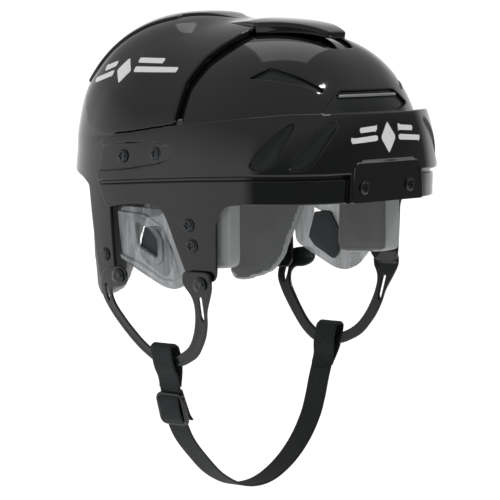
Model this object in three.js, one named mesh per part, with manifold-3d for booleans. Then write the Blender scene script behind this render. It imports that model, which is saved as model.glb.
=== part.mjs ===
// Two-piece adjustable ice-hockey helmet: front shell, sliding rear shell, clear ear guards,
// liner pads, ear loops, chin strap and hardware. Millimetres, +Z up, the face looks along -Y,
// the wearer's left is +X. The origin is the middle of the head opening at the brow edge.
import * as THREE from 'three';
import { mergeVertices } from 'three/addons/utils/BufferGeometryUtils.js';
import Module from 'manifold-3d';

const wasm = await Module();
wasm.setup();

// ---------------------------------------------------------------- driving dimensions
// Reference surface: the outside of the rear shell.
const HALF_WIDTH = 105;
const FRONT_LENGTH = 118;
const REAR_LENGTH = 114;
const FRONT_START = -10;
const REAR_START = 12;
const CROWN_HEIGHT = 124;
const CROWN_RISE = 0.058;
const CROWN_RISE_BLEND = 15;
const LOWER_HEIGHT = 230;
const SECTION_POWER = 2.35;
const FRONT_POWER = 3.2;
const REAR_POWER = 2.35;
const SIDE_SEGMENTS = 40;
const HEIGHT_SEGMENTS = 22;
const PAD_SIDE_SEGMENTS = 28;
const PAD_HEIGHT_SEGMENTS = 16;

// Offsets from the reference surface, outwards positive.
const BAND_OUT = 4.0;
const BROW_OUT = 2.4;
const SIDE_IN = 0.2;
const DOME_OUT = -5.2;
const DOME_IN = -8.0;
const TROUGH_OUT = -8.2;
const TROUGH_IN = -10.6;
const REAR_IN = -3.0;
const SKIRT_OUT = -1.6;
const SKIRT_IN = -4.6;
const RIDGE_OUT = 4.2;
const TONGUE_OUT = 2.4;
const TONGUE_IN = -1.2;
const GUARD_OUT = -5.4;
const GUARD_IN = -7.4;

// Sliding size adjustment and hardware.
const SLIDE_TRAVEL = 10;
const GAP = 0.3;
const SCREW_HEAD_RADIUS = 4.9;
const SCREW_HEAD_HEIGHT = 2.0;
const SCREW_SHANK_RADIUS = 2.1;
const SCREW_HOLE_RADIUS = 2.5;
const NUT_RADIUS = 5.6;
const NUT_BORE_RADIUS = 2.45;
const NUT_THICKNESS = 1.7;
const SCREW_SEGMENTS = 9;

const LOOP_THICKNESS = 2.6;
const LOOP_CLEARANCE = 1.5;
const LOOP_LEAN = 0.286;
const LOOP_LEAN_START = -57;
const STRAP_WIDTH = 19;
const STRAP_THICKNESS = 1.8;
const STRAP_Y = -5;
const REACH = 200;

// Side-view lines, as [y, z] from the front backwards.
const BAND_TOP = [[-REACH, 62], [-105, 61], [-72, 57.5], [-30, 53], [17, 45.7], [REACH, 23]];
const BAND_BOTTOM = [[-REACH, 19], [-82, 18], [-47, 16.6], [-3, 14], [46, 10.7], [REACH, 8]];
const BAND_END = [[46, 10.7], [48.4, 17.7], [44.6, 39.5], [40, 42.1]];
const SLOT_FRONT = -21.5;
const DOME_REAR = 10;
const DOME_ABOVE_SLOT = 6.5;

// Wall thicknesses and the depths of recesses.
const BROW_WALL = 2.2;
const PLATE_WALL = 2.2;
const RIDGE_WALL_IN = -1;
const TEARDROP_DEPTH = 1.8;
const VENT_DEPTH = 1.5;
const CLEAR_OF_SHELL = 6;
const BORE_REACH = 20;
const INSIDE_EVERYTHING = -40;
const ABOVE_BROW = 60;
const SIDE_START = 20;

// Pads, as offsets from the reference surface: inner face, then outer face.
const TEMPLE_LAYER = [-20, -11];
const TEMPLE_FACE_LAYER = [-12, -3.6];
const REAR_SIDE_LAYER = [-20, -11.2];
const EAR_PAD_IN = -10.2;
const FOREHEAD_LAYER = [-20, -9];
const OCCIPITAL_LAYER = [-18, -6.5];
const FRONT_CROWN_LAYER = [-22, -12];
const REAR_CROWN_LAYER = [-16, -5];

// Flat face for a visor at the front: its distance, half width, foot, top and bevel.
const PLATE_Y = -129.6;
const PLATE_HALF_WIDTH = 36;
const PLATE_FOOT = -5;
const PLATE_TOP = 26;
const PLATE_BEVEL = 6;
const PLATE_BLOCK = [-39, 39, -REACH, -90, -1, 22];

// Ear guards: how far the lower rib and the seats of the screws stand out.
const GUARD_RIB_OUT = GUARD_OUT + 2.6;
const GUARD_OVERLAP = 0.5;
const GUARD_SEAT_RADIUS = 4.6;

// Screws: where each tip and nut lies along its axis, outwards positive.
const PLATE_SCREW_TIP = -8;
const PLATE_NUT_TOP = -5.8;
const TAB_SCREW_TIP = -9.2;
const ADJUST_SCREW_TIP = -7;
const ADJUST_NUT_TOP = SKIRT_IN - 0.6;
const TAIL_SCREW_TIP = -7.3;
const TAIL_NUT_TOP = SKIRT_IN - 0.8;

// Chin strap loops around the ear loops, and the three-bar slide.
const STRAP_LOOP_TOP = -103;
const STRAP_LOOP_FOOT = -125;
const STRAP_LOOP_HALF = 5.2;
const BUCKLE_HALF_WIDTH = 12.5;
const BUCKLE_HALF_HEIGHT = 12;
const BUCKLE_HALF_DEPTH = 2.4;
const BUCKLE_EYE_HALF_WIDTH = 10;
const BUCKLE_BAR = 2.4;
const BUCKLE_LEAN = -17.6;
const BUCKLE_CENTRE = [-83.4, 0, -149];

// ---------------------------------------------------------------- small tools
function solid(geometry) {
  const bare = geometry.clone();
  bare.deleteAttribute('normal');
  bare.deleteAttribute('uv');
  const merged = mergeVertices(bare, 1e-4);
  const mesh = new wasm.Mesh({
    numProp: 3,
    vertProperties: new Float32Array(merged.attributes.position.array),
    triVerts: new Uint32Array(merged.index.array),
  });
  return new wasm.Manifold(mesh);
}

function toGeometry(manifold) {
  const mesh = manifold.getMesh();
  const geometry = new THREE.BufferGeometry();
  geometry.setAttribute('position', new THREE.BufferAttribute(mesh.vertProperties, 3));
  geometry.setIndex(new THREE.BufferAttribute(mesh.triVerts, 1));
  geometry.computeVertexNormals();
  return geometry;
}

function lineHeight(line, y) {
  for (let i = 1; i < line.length; i += 1) {
    const [y0, z0] = line[i - 1];
    const [y1, z1] = line[i];
    if (y <= y1) {
      return z0 + (z1 - z0) * (y - y0) / (y1 - y0);
    }
  }
  return line[line.length - 1][1];
}

function smoothstep(a, b, v) {
  const t = Math.min(1, Math.max(0, (v - a) / (b - a)));
  return t * t * (3 - 2 * t);
}

function shapeOf(points) {
  return new THREE.Shape(points.map(([a, b]) => new THREE.Vector2(a, b)));
}

// A prism from a side-view outline [y, z], reaching from x0 to x1.
function sidePrism(points, x0 = -REACH, x1 = REACH) {
  const geometry = new THREE.ExtrudeGeometry(shapeOf(points), { depth: x1 - x0, bevelEnabled: false });
  const turn = new THREE.Matrix4().makeBasis(
    new THREE.Vector3(0, 1, 0), new THREE.Vector3(0, 0, 1), new THREE.Vector3(1, 0, 0));
  geometry.applyMatrix4(turn);
  geometry.translate(x0, 0, 0);
  return solid(geometry);
}

// A prism from a top-view outline [x, y], reaching from z0 to z1.
function topPrism(points, z0, z1) {
  const geometry = new THREE.ExtrudeGeometry(shapeOf(points), { depth: z1 - z0, bevelEnabled: false });
  geometry.translate(0, 0, z0);
  return solid(geometry);
}

// A prism from a front-view outline [x, z], reaching from y0 to y1.
function frontPrism(points, y0, y1) {
  const geometry = new THREE.ExtrudeGeometry(shapeOf(points), { depth: y1 - y0, bevelEnabled: false });
  geometry.rotateX(Math.PI / 2);
  geometry.translate(0, y1, 0);
  return solid(geometry);
}

// A prism along VENT_DIRECTION whose outline passes through the given corners.
function slantedPrism(corners) {
  const out = new THREE.Vector3(...VENT_DIRECTION).normalize();
  const across = new THREE.Vector3(1, -1, 0).normalize();
  const up = new THREE.Vector3().crossVectors(out, across);
  const flat = corners.map((corner) => {
    const p = new THREE.Vector3(...corner);
    return [p.dot(across), p.dot(up)];
  });
  const geometry = new THREE.ExtrudeGeometry(shapeOf(orient(flat)), {
    depth: REACH - VENT_START, bevelEnabled: false });
  geometry.translate(0, 0, VENT_START);
  geometry.applyMatrix4(new THREE.Matrix4().makeBasis(across, up, out));
  return solid(geometry);
}

// A side-view outline taken on one side of the helmet only.
function sideZone(side, outline) {
  return sidePrism(orient(outline), side > 0 ? SIDE_START : -REACH, side > 0 ? REACH : -SIDE_START);
}

function box(x0, x1, y0, y1, z0, z1) {
  const geometry = new THREE.BoxGeometry(x1 - x0, y1 - y0, z1 - z0);
  geometry.translate((x0 + x1) / 2, (y0 + y1) / 2, (z0 + z1) / 2);
  return solid(geometry);
}

function mirrorX(points) {
  return points.map(([x, y]) => [-x, y]).reverse();
}

function union(pieces) {
  return pieces.reduce((sum, piece) => sum.add(piece));
}

// ---------------------------------------------------------------- reference surface
function surfaceValue(p) {
  const crown = CROWN_HEIGHT + CROWN_RISE * (p.y + Math.hypot(p.y, CROWN_RISE_BLEND));
  const x = Math.abs(p.x) / HALF_WIDTH;
  const z = p.z > 0 ? p.z / crown : -p.z / LOWER_HEIGHT;
  const section = x ** SECTION_POWER + z ** SECTION_POWER;
  if (p.y < FRONT_START) {
    return section ** (FRONT_POWER / SECTION_POWER)
      + ((FRONT_START - p.y) / FRONT_LENGTH) ** FRONT_POWER;
  }
  const back = Math.max(0, p.y - REAR_START) / REAR_LENGTH;
  return section ** (REAR_POWER / SECTION_POWER) + back ** REAR_POWER;
}

function onSurface(direction) {
  const probe = new THREE.Vector3();
  let low = 0;
  let high = 400;
  for (let i = 0; i < 40; i += 1) {
    const middle = (low + high) / 2;
    if (surfaceValue(probe.copy(direction).multiplyScalar(middle)) > 1) {
      high = middle;
    } else {
      low = middle;
    }
  }
  return probe.copy(direction).multiplyScalar(low).clone();
}

function surfaceNormal(p) {
  const step = 0.5;
  const normal = new THREE.Vector3();
  ['x', 'y', 'z'].forEach((axis) => {
    const ahead = p.clone();
    const behind = p.clone();
    ahead[axis] += step;
    behind[axis] -= step;
    normal[axis] = surfaceValue(ahead) - surfaceValue(behind);
  });
  return normal.normalize();
}

// Half width of the reference surface at a side-view position.
function halfWidthAt(y, z) {
  let low = 0;
  let high = HALF_WIDTH * 1.1;
  for (let i = 0; i < 40; i += 1) {
    const middle = (low + high) / 2;
    if (surfaceValue(new THREE.Vector3(middle, y, z)) > 1) {
      high = middle;
    } else {
      low = middle;
    }
  }
  return low;
}

// The whole closed egg at an offset from the reference surface.
function egg(offset, around = SIDE_SEGMENTS, upward = HEIGHT_SEGMENTS) {
  const geometry = new THREE.SphereGeometry(1, around, upward);
  geometry.rotateX(Math.PI / 2);
  geometry.deleteAttribute('uv');
  geometry.deleteAttribute('normal');
  const merged = mergeVertices(geometry, 1e-4);
  const positions = merged.attributes.position;
  const direction = new THREE.Vector3();
  for (let i = 0; i < positions.count; i += 1) {
    direction.fromBufferAttribute(positions, i).normalize();
    const p = onSurface(direction);
    const amount = typeof offset === 'function' ? offset(p) : offset;
    p.addScaledVector(surfaceNormal(p), amount);
    positions.setXYZ(i, p.x, p.y, p.z);
  }
  return solid(merged);
}

const eggCache = new Map();
function layer(inner, outer, around = SIDE_SEGMENTS, upward = HEIGHT_SEGMENTS) {
  const pick = (offset) => {
    const key = `${offset}/${around}`;
    if (!eggCache.has(key)) {
      eggCache.set(key, egg(offset, around, upward));
    }
    return eggCache.get(key);
  };
  return pick(outer).subtract(pick(inner));
}

// ---------------------------------------------------------------- lines as outlines
function strip(line, y0, y1, below, above) {
  const inside = line.filter(([y]) => y > y0 && y < y1);
  const top = [[y0, lineHeight(line, y0)], ...inside, [y1, lineHeight(line, y1)]];
  const lower = top.map(([y, z]) => [y, z + below]);
  const upper = top.map(([y, z]) => [y, z + above]).reverse();
  return [...lower, ...upper];
}

// ---------------------------------------------------------------- screw positions
// Each on the wearer's left side, as [y, z] or, at the front, [x, z].
const FRONT_SCREWS = [[26, 9.3]];
const TAB_SCREWS = [[-38.8, -16.5], [-41.6, -30.6]];
const ADJUST_SCREWS = [[22.8, 29.1], [-7.8, 31.6]];
const TAIL_SCREWS = [[46, -41.8]];

// A frame whose +Z points out of the shell at a side-view position.
function sideFrame(side, y, z) {
  const p = new THREE.Vector3(side * halfWidthAt(y, z), y, z);
  const normal = surfaceNormal(p);
  const turn = new THREE.Quaternion().setFromUnitVectors(new THREE.Vector3(0, 0, 1), normal);
  return new THREE.Matrix4().compose(p, turn, new THREE.Vector3(1, 1, 1));
}

function plateFrame(x, z) {
  const turn = new THREE.Quaternion().setFromUnitVectors(
    new THREE.Vector3(0, 0, 1), new THREE.Vector3(0, -1, 0));
  return new THREE.Matrix4().compose(
    new THREE.Vector3(x, PLATE_Y, z), turn, new THREE.Vector3(1, 1, 1));
}

function rod(frame, radius, from, to, segments = SCREW_SEGMENTS) {
  const geometry = new THREE.CylinderGeometry(radius, radius, to - from, segments);
  geometry.rotateX(Math.PI / 2);
  geometry.translate(0, 0, (from + to) / 2);
  geometry.applyMatrix4(frame);
  return solid(geometry);
}

function lathe(frame, profile, segments = SCREW_SEGMENTS) {
  const points = profile.map(([r, h]) => new THREE.Vector2(r, h));
  const geometry = new THREE.LatheGeometry(points, segments);
  geometry.rotateX(Math.PI / 2);
  geometry.applyMatrix4(frame);
  return solid(geometry);
}

function screw(frame, seat, tip) {
  return lathe(frame, [
    [0, tip],
    [SCREW_SHANK_RADIUS, tip],
    [SCREW_SHANK_RADIUS, seat],
    [SCREW_HEAD_RADIUS, seat],
    [SCREW_HEAD_RADIUS * 0.86, seat + SCREW_HEAD_HEIGHT * 0.7],
    [0, seat + SCREW_HEAD_HEIGHT],
  ]);
}

function nut(frame, top) {
  return lathe(frame, [
    [NUT_BORE_RADIUS, top - NUT_THICKNESS],
    [NUT_RADIUS, top - NUT_THICKNESS],
    [NUT_RADIUS, top],
    [NUT_BORE_RADIUS, top],
    [NUT_BORE_RADIUS, top - NUT_THICKNESS],
  ]);
}

// ---------------------------------------------------------------- front shell
const EAR_OPENING_AND_TAB = [
  [-REACH, -1], [-80, -1], [-70, -2], [-65, -6], [-62.4, -13], [-61.6, -50], [-59, -55],
  [-40, -55], [-35, -50], [-26.4, -31], [-21.8, -20.7], [-17.4, -11.8], [-12.8, -6.4],
  [-4, -3.4], [20, -4.1], [39.5, -7.6], [47.8, 10],
];
const TONGUE_OUTLINE = [[34, -37], [9.5, -86], [-9.5, -86], [-34, -37], [-24, 0], [24, 0]];
const TROUGH_OUTLINE = [[38, -36], [12.5, -90], [-12.5, -90], [-38, -36], [-38, 20], [38, 20]];
const TROUGH_LINER = [[41, -36], [15, -93], [-15, -93], [-41, -36], [-41, 20], [41, 20]];
const TEARDROPS = [
  [[-105, 55], [-97, 46], [-88, 33], [-84.5, 26], [-88, 23], [-95, 24], [-101, 29], [-102.5, 39], [-106, 51]],
  [[-121, 56.5], [-117, 50], [-112.5, 40], [-107, 26], [-110, 23], [-115.5, 24], [-119, 29], [-121, 37],
    [-122.5, 50]],
];
// The slanting dome vent on the wearer's right, as [x, y, z], and the direction it is cut along.
const VENT_CORNERS = [[-72.5, -64.5, 84], [-60.6, -74.6, 91], [-40.7, -105.5, 74.5]];
const VENT_DIRECTION = [-0.62, -0.62, 0.48];
const VENT_START = 90;
const VENT_SLOT = [[-46, 66], [-30, 76], [30, 76], [46, 66], [30, 61.5], [-30, 61.5]];

function browOffset(p) {
  return BROW_OUT - (BROW_OUT - 0.3) * smoothstep(-70, -112, p.y);
}

function buildFrontShell() {
  const domeArea = sidePrism([
    [-REACH, 61], [-105, 60], [-72, 56.5], [-30, 52], [SLOT_FRONT, 51.2], [SLOT_FRONT, 58.2],
    [DOME_REAR, 53.5], [DOME_REAR, REACH], [-REACH, REACH],
  ]);
  const troughCut = layer(TROUGH_OUT, CLEAR_OF_SHELL).intersect(topPrism(TROUGH_OUTLINE, ABOVE_BROW, REACH));
  const troughWall = layer(TROUGH_IN, DOME_IN + 0.4)
    .intersect(topPrism(TROUGH_LINER, ABOVE_BROW, REACH)).intersect(domeArea);
  let shell = layer(DOME_IN, DOME_OUT).intersect(domeArea).add(troughWall).subtract(troughCut);
  shell = shell.add(layer(DOME_IN, BAND_OUT)
    .intersect(sidePrism(strip(BAND_TOP, -REACH, SLOT_FRONT, -3, 0))));
  const bandOutline = [
    ...BAND_BOTTOM.slice(0, -2), ...BAND_END, ...BAND_TOP.slice(0, -1).reverse(),
  ];
  shell = shell.add(layer(SIDE_IN, BAND_OUT).intersect(sidePrism(bandOutline)));
  const browLayer = egg(browOffset).subtract(egg((p) => browOffset(p) - BROW_WALL));
  shell = shell.add(browLayer.intersect(sidePrism([
    ...EAR_OPENING_AND_TAB, [46, 14], [-3, 17], [-82, 22], [-REACH, 24],
  ])));
  const plate = layer(-PLATE_WALL, BAND_OUT).intersect(box(...PLATE_BLOCK));
  shell = shell.add(plate);
  const bevelY = PLATE_Y - PLATE_BEVEL;
  const plateSides = topPrism(orient([
    [-PLATE_HALF_WIDTH, PLATE_Y], [PLATE_HALF_WIDTH, PLATE_Y], [PLATE_HALF_WIDTH + PLATE_BEVEL, bevelY],
    [PLATE_HALF_WIDTH + PLATE_BEVEL, -REACH], [-PLATE_HALF_WIDTH - PLATE_BEVEL, -REACH],
    [-PLATE_HALF_WIDTH - PLATE_BEVEL, bevelY],
  ]), PLATE_FOOT, REACH);
  const plateFace = sidePrism(orient([
    [PLATE_Y, PLATE_FOOT], [PLATE_Y, PLATE_TOP], [bevelY, PLATE_TOP + PLATE_BEVEL],
    [-REACH, PLATE_TOP + PLATE_BEVEL], [-REACH, PLATE_FOOT],
  ]));
  shell = shell.subtract(plateSides.intersect(plateFace));
  // Room for the rear shell, which passes from outside the dome to inside the band.
  shell = shell.subtract(layer(INSIDE_EVERYTHING, SIDE_IN)
    .intersect(sidePrism(strip(BAND_TOP, SLOT_FRONT, 60, -CLEAR_OF_SHELL, DOME_ABOVE_SLOT))));
  // Recessed teardrops in the band, and the dome's vents.
  for (const side of [-1, 1]) {
    for (const drop of TEARDROPS) {
      shell = shell.subtract(layer(BAND_OUT - TEARDROP_DEPTH, BAND_OUT + CLEAR_OF_SHELL)
        .intersect(sideZone(side, drop)));
    }
    const vent = slantedPrism(VENT_CORNERS);
    shell = shell.subtract(layer(DOME_OUT - VENT_DEPTH, CLEAR_OF_SHELL)
      .intersect(side > 0 ? vent.mirror([1, 0, 0]) : vent));
  }
  shell = shell.subtract(layer(DOME_OUT - VENT_DEPTH, CLEAR_OF_SHELL)
    .intersect(frontPrism(VENT_SLOT, -REACH, -80)));
  for (const side of [-1, 1]) {
    for (const [x, z] of FRONT_SCREWS) {
      shell = shell.subtract(rod(plateFrame(side * x, z), SCREW_HOLE_RADIUS, -BORE_REACH, BORE_REACH));
    }
    for (const [y, z] of [...TAB_SCREWS, ...ADJUST_SCREWS]) {
      shell = shell.subtract(rod(sideFrame(side, y, z), SCREW_HOLE_RADIUS, -BORE_REACH, BORE_REACH));
    }
  }
  return shell;
}

function dedupe(points) {
  return points.filter(([a, b], i) => {
    const [c, d] = points[(i + 1) % points.length];
    return Math.hypot(a - c, b - d) > 0.01;
  });
}

function orient(points) {
  const flat = points.map(([a, b]) => new THREE.Vector2(a, b));
  return THREE.ShapeUtils.area(flat) > 0 ? points : points.slice().reverse();
}

// ---------------------------------------------------------------- rear shell
const REAR_EDGE = [[-18, 46], [-18.5, 81], [-25, 99], [-34, 111], [-38, 119], [-38, REACH]];
const REAR_SKIRT = [
  [-30, 17], [34, 15], [39.5, -6], [35.5, -60], [39, -65], [51, -65], [54.5, -60], [62, -20],
  [67, 7], [78, 12], [100, 16], [REACH, 16],
];
const RIDGE_OUTLINE = [[20, 20], [28, 33], [35, 35], [44, 52], [58, 76], [64, 84]];

function buildRearShell() {
  const upper = sidePrism(orient([
    ...REAR_EDGE, [REACH, REACH], [REACH, 24], [17, 46.7], [-18, 52],
  ].slice(1)));
  let shell = layer(REAR_IN, 0).intersect(upper);
  const skirt = sidePrism(orient(dedupe([
    ...REAR_SKIRT, [REACH, 26], [17, 48], [-18, 53.5], [-18, 45], [-30, 46],
  ])));
  shell = shell.add(layer(SKIRT_IN, SKIRT_OUT).intersect(skirt));
  shell = shell.add(layer(SKIRT_IN, 0).intersect(sidePrism(strip(BAND_TOP, -18, REACH, 0.8, 3.4))));
  shell = shell.add(layer(TONGUE_IN, TONGUE_OUT)
    .intersect(topPrism(orient(TONGUE_OUTLINE), ABOVE_BROW, REACH)));
  const ridge = [...RIDGE_OUTLINE, ...mirrorX(RIDGE_OUTLINE)];
  const ridgeZone = topPrism(orient(ridge), ABOVE_BROW, REACH);
  const ridgeSide = sidePrism([[0, 84], [REACH, 70], [REACH, REACH], [0, REACH]]);
  shell = shell.add(layer(RIDGE_WALL_IN, RIDGE_OUT).intersect(ridgeZone).intersect(ridgeSide));
  for (const side of [-1, 1]) {
    for (const [y, z] of ADJUST_SCREWS) {
      const half = SCREW_HOLE_RADIUS + 0.4;
      const slot = [[y - SLIDE_TRAVEL - half - 1, z - half], [y + half + 0.5, z - half],
        [y + half + 0.5, z + half], [y - SLIDE_TRAVEL - half - 1, z + half]];
      shell = shell.subtract(sideZone(side, slot));
    }
    for (const [y, z] of TAIL_SCREWS) {
      shell = shell.subtract(rod(sideFrame(side, y, z), SCREW_HOLE_RADIUS, -BORE_REACH, BORE_REACH));
    }
  }
  return shell;
}

// ---------------------------------------------------------------- clear ear guards
const GUARD_OUTLINE = [
  [-50, -8], [-50, -34], [-38, -50], [-30, -59], [-18, -64], [-7, -62.5], [14, -53], [31, -45],
  [36, -12], [30, -6],
];
const GUARD_RIB = [
  [-30, -56.5], [-18, -61], [-7, -59.5], [14, -50], [12, -46], [-7, -55], [-18, -56.5], [-27, -53],
];
const GUARD_WINDOW = [[16, -17], [3, -22], [-4, -29], [-4, -42], [14, -34]];

function buildEarGuard(side) {
  let guard = layer(GUARD_IN, GUARD_OUT).intersect(sideZone(side, GUARD_OUTLINE));
  guard = guard.add(layer(GUARD_OUT - GUARD_OVERLAP, GUARD_RIB_OUT).intersect(sideZone(side, GUARD_RIB)));
  guard = guard.subtract(layer(-BORE_REACH, BORE_REACH).intersect(sideZone(side, GUARD_WINDOW)));
  for (const [y, z] of TAB_SCREWS) {
    guard = guard.add(rod(sideFrame(side, y, z), GUARD_SEAT_RADIUS,
      GUARD_OUT - GUARD_OVERLAP, SIDE_IN - GAP));
    guard = guard.subtract(rod(sideFrame(side, y, z), SCREW_HOLE_RADIUS, -BORE_REACH, BORE_REACH));
  }
  return guard;
}

// ---------------------------------------------------------------- liner pads
function padLayer([inner, outer]) {
  return layer(inner, outer, PAD_SIDE_SEGMENTS, PAD_HEIGHT_SEGMENTS);
}

const TEMPLE_PAD = [[-70, 40], [-70, -44], [-66, -47], [-24, -50], [-18, -46], [-18, 40]];
const TEMPLE_FACE = [[-69.5, 12], [-69.5, -46], [-55, -46], [-55, 12]];
const REAR_SIDE_PAD = [[12, -4], [38, -61], [48, -70], [74, -78], [83, -74], [88, -30], [86, 30], [18, 34]];
const EAR_PAD = [[12, -20], [-4, -19], [-15, -36], [-14, -50], [-8, -57], [12, -47], [18, -40]];

function buildTemplePad(side) {
  const main = padLayer(TEMPLE_LAYER).intersect(sideZone(side, TEMPLE_PAD));
  const face = padLayer(TEMPLE_FACE_LAYER).intersect(sideZone(side, TEMPLE_FACE));
  return main.add(face);
}

function buildRearSidePad(side) {
  return padLayer(REAR_SIDE_LAYER).intersect(sideZone(side, REAR_SIDE_PAD));
}

function buildEarPad(side) {
  return layer(EAR_PAD_IN, GUARD_IN - GAP).intersect(sideZone(side, EAR_PAD));
}

function buildForeheadPad() {
  return padLayer(FOREHEAD_LAYER).intersect(frontPrism(
    [[-58, 8], [58, 8], [58, 40], [-58, 40]], -REACH, -60));
}

function buildOccipitalPad() {
  return padLayer(OCCIPITAL_LAYER).intersect(frontPrism(
    [[-36, -26], [36, -26], [40, 26], [-40, 26]], 60, REACH));
}

function buildFrontCrownPad(side) {
  const outline = [[22, -66], [50, -60], [60, -14], [30, -12]].map(([x, y]) => [side * x, y]);
  return padLayer(FRONT_CROWN_LAYER).intersect(topPrism(orient(outline), ABOVE_BROW, REACH));
}

function buildRearCrownPad() {
  return padLayer(REAR_CROWN_LAYER).intersect(topPrism(
    [[-44, 24], [44, 24], [40, 74], [-40, 74]], ABOVE_BROW, REACH));
}

// ---------------------------------------------------------------- ear loops
const LOOP_OUTLINE = [
  [-59, -48], [-60, -58], [-56, -67], [-51, -77], [-50, -85], [-46, -96], [-36, -110], [-20, -118],
  [-2, -120], [8, -117], [20, -109], [31, -98], [42, -85], [49, -74], [50, -66], [47, -56], [40, -50],
  [24, -48], [19, -53], [20, -60], [28, -64], [36, -64], [39, -69], [37, -77], [27, -90], [16, -102],
  [6, -109], [-3, -112], [-18, -110], [-30, -103], [-37, -92], [-41, -80], [-42, -70], [-40, -64],
  [-35, -58], [-35, -48],
];
const SNAP_POSITIONS = [[-51, -57], [27, -55.5]];

// Inner face of a loop at a side-view position: flat against the shells, leaning in below them.
function loopInner(y, z) {
  const shellZ = Math.max(z, LOOP_LEAN_START);
  const width = halfWidthAt(y, shellZ);
  const clear = THREE.MathUtils.lerp(BROW_OUT, SKIRT_OUT + 1, smoothstep(-20, 18, y)) + LOOP_CLEARANCE;
  return width + clear - LOOP_LEAN * Math.max(0, LOOP_LEAN_START - z);
}

function buildEarLoop(side) {
  const geometry = new THREE.ExtrudeGeometry(shapeOf(LOOP_OUTLINE), {
    depth: LOOP_THICKNESS, bevelEnabled: false });
  const turn = new THREE.Matrix4().makeBasis(
    new THREE.Vector3(0, 1, 0), new THREE.Vector3(0, 0, 1), new THREE.Vector3(1, 0, 0));
  geometry.applyMatrix4(turn);
  const positions = geometry.attributes.position;
  for (let i = 0; i < positions.count; i += 1) {
    const y = positions.getY(i);
    const z = positions.getZ(i);
    positions.setX(i, loopInner(y, z) + positions.getX(i));
  }
  const loop = solid(geometry);
  return side > 0 ? loop : loop.mirror([1, 0, 0]);
}

function buildSnap(side, y, z) {
  const base = loopInner(y, z) + LOOP_THICKNESS + GAP;
  const frame = new THREE.Matrix4().compose(
    new THREE.Vector3(side * base, y, z),
    new THREE.Quaternion().setFromUnitVectors(new THREE.Vector3(0, 0, 1), new THREE.Vector3(side, 0, 0)),
    new THREE.Vector3(1, 1, 1));
  return lathe(frame, [[0, 0], [5.4, 0], [5.4, 1.2], [3.6, 2.4], [0, 2.4]], 14);
}

// ---------------------------------------------------------------- chin strap
const STRAP_LINE = [
  [-88.6, -124], [-88.4, -131], [-87.2, -137], [-85.3, -143], [-83.4, -149], [-81.5, -155],
  [-79.6, -161], [-72, -173], [-58, -187], [-41, -201],
  [-20, -211], [0, -214], [20, -211], [41, -201], [58, -187], [70, -171], [76, -157], [80, -144],
  [84, -133], [88, -124],
];

function buildChinStrap() {
  const curve = new THREE.SplineCurve(STRAP_LINE.map(([x, z]) => new THREE.Vector2(x, z)));
  const count = 32;
  const left = [];
  const right = [];
  for (let i = 0; i <= count; i += 1) {
    const p = curve.getPoint(i / count);
    const t = curve.getTangent(i / count);
    const nx = -t.y * STRAP_THICKNESS / 2;
    const nz = t.x * STRAP_THICKNESS / 2;
    left.push([p.x + nx, p.y + nz]);
    right.push([p.x - nx, p.y - nz]);
  }
  const y0 = STRAP_Y - STRAP_WIDTH / 2;
  const y1 = STRAP_Y + STRAP_WIDTH / 2;
  let strap = frontPrism(orient([...left, ...right.reverse()]), y0, y1);
  for (const side of [-1, 1]) {
    const centre = (z) => side * (loopInner(STRAP_Y, z) + LOOP_THICKNESS / 2);
    const ring = (half, low, high) => frontPrism(orient([
      [centre(low) - half, low], [centre(low) + half, low],
      [centre(high) + half, high], [centre(high) - half, high],
    ]), y0, y1);
    strap = strap.add(ring(STRAP_LOOP_HALF, STRAP_LOOP_FOOT, STRAP_LOOP_TOP));
    const wall = STRAP_THICKNESS;
    const hole = ring(STRAP_LOOP_HALF - wall, STRAP_LOOP_FOOT + wall, STRAP_LOOP_TOP - wall);
    const through = hole.translate([0, STRAP_WIDTH - 1, 0]).add(hole.translate([0, 1 - STRAP_WIDTH, 0]));
    strap = strap.subtract(hole).subtract(through);
  }
  return strap;
}

// Three-bar slide on the wearer's right run of the strap.
function buildSlideBuckle() {
  const frame = box(-BUCKLE_HALF_DEPTH, BUCKLE_HALF_DEPTH, STRAP_Y - BUCKLE_HALF_WIDTH,
    STRAP_Y + BUCKLE_HALF_WIDTH, -BUCKLE_HALF_HEIGHT, BUCKLE_HALF_HEIGHT);
  const y0 = STRAP_Y - BUCKLE_EYE_HALF_WIDTH;
  const y1 = STRAP_Y + BUCKLE_EYE_HALF_WIDTH;
  const room = STRAP_THICKNESS / 2 + GAP * 2;
  const far = 2 * BUCKLE_HALF_HEIGHT;
  const window = box(-room, room, y0, y1, -far, far);
  const eyeTop = BUCKLE_HALF_HEIGHT - BUCKLE_BAR;
  const buckle = frame.subtract(window)
    .subtract(box(-far, far, y0, y1, BUCKLE_BAR, eyeTop))
    .subtract(box(-far, far, y0, y1, -eyeTop, -BUCKLE_BAR));
  return buckle.rotate([0, BUCKLE_LEAN, 0]).translate(BUCKLE_CENTRE);
}

// ---------------------------------------------------------------- assembly
const helmet = new THREE.Group();

function finish(color, roughness, metalness = 0, extra = {}) {
  return new THREE.MeshStandardMaterial({ color, roughness, metalness, ...extra });
}

function place(name, manifold, material) {
  const mesh = new THREE.Mesh(toGeometry(manifold), material);
  mesh.name = name;
  helmet.add(mesh);
}

const GLOSS_BLACK = () => finish(0x0b0c0d, 0.12);
const CLEAR = () => finish(0xd8dde0, 0.08, 0, { transparent: true, opacity: 0.35 });
const GREY_FOAM = () => finish(0x6a6d6b, 0.9);
const CHARCOAL_FOAM = () => finish(0x35393b, 0.9);
const DARK_STEEL = () => finish(0x1c1d1f, 0.35, 0.9);
const PLAIN_STEEL = () => finish(0x8f9296, 0.4, 0.95);
const BLACK_PLASTIC = () => finish(0x111213, 0.35);
const WEBBING = () => finish(0x131415, 0.85);

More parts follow.
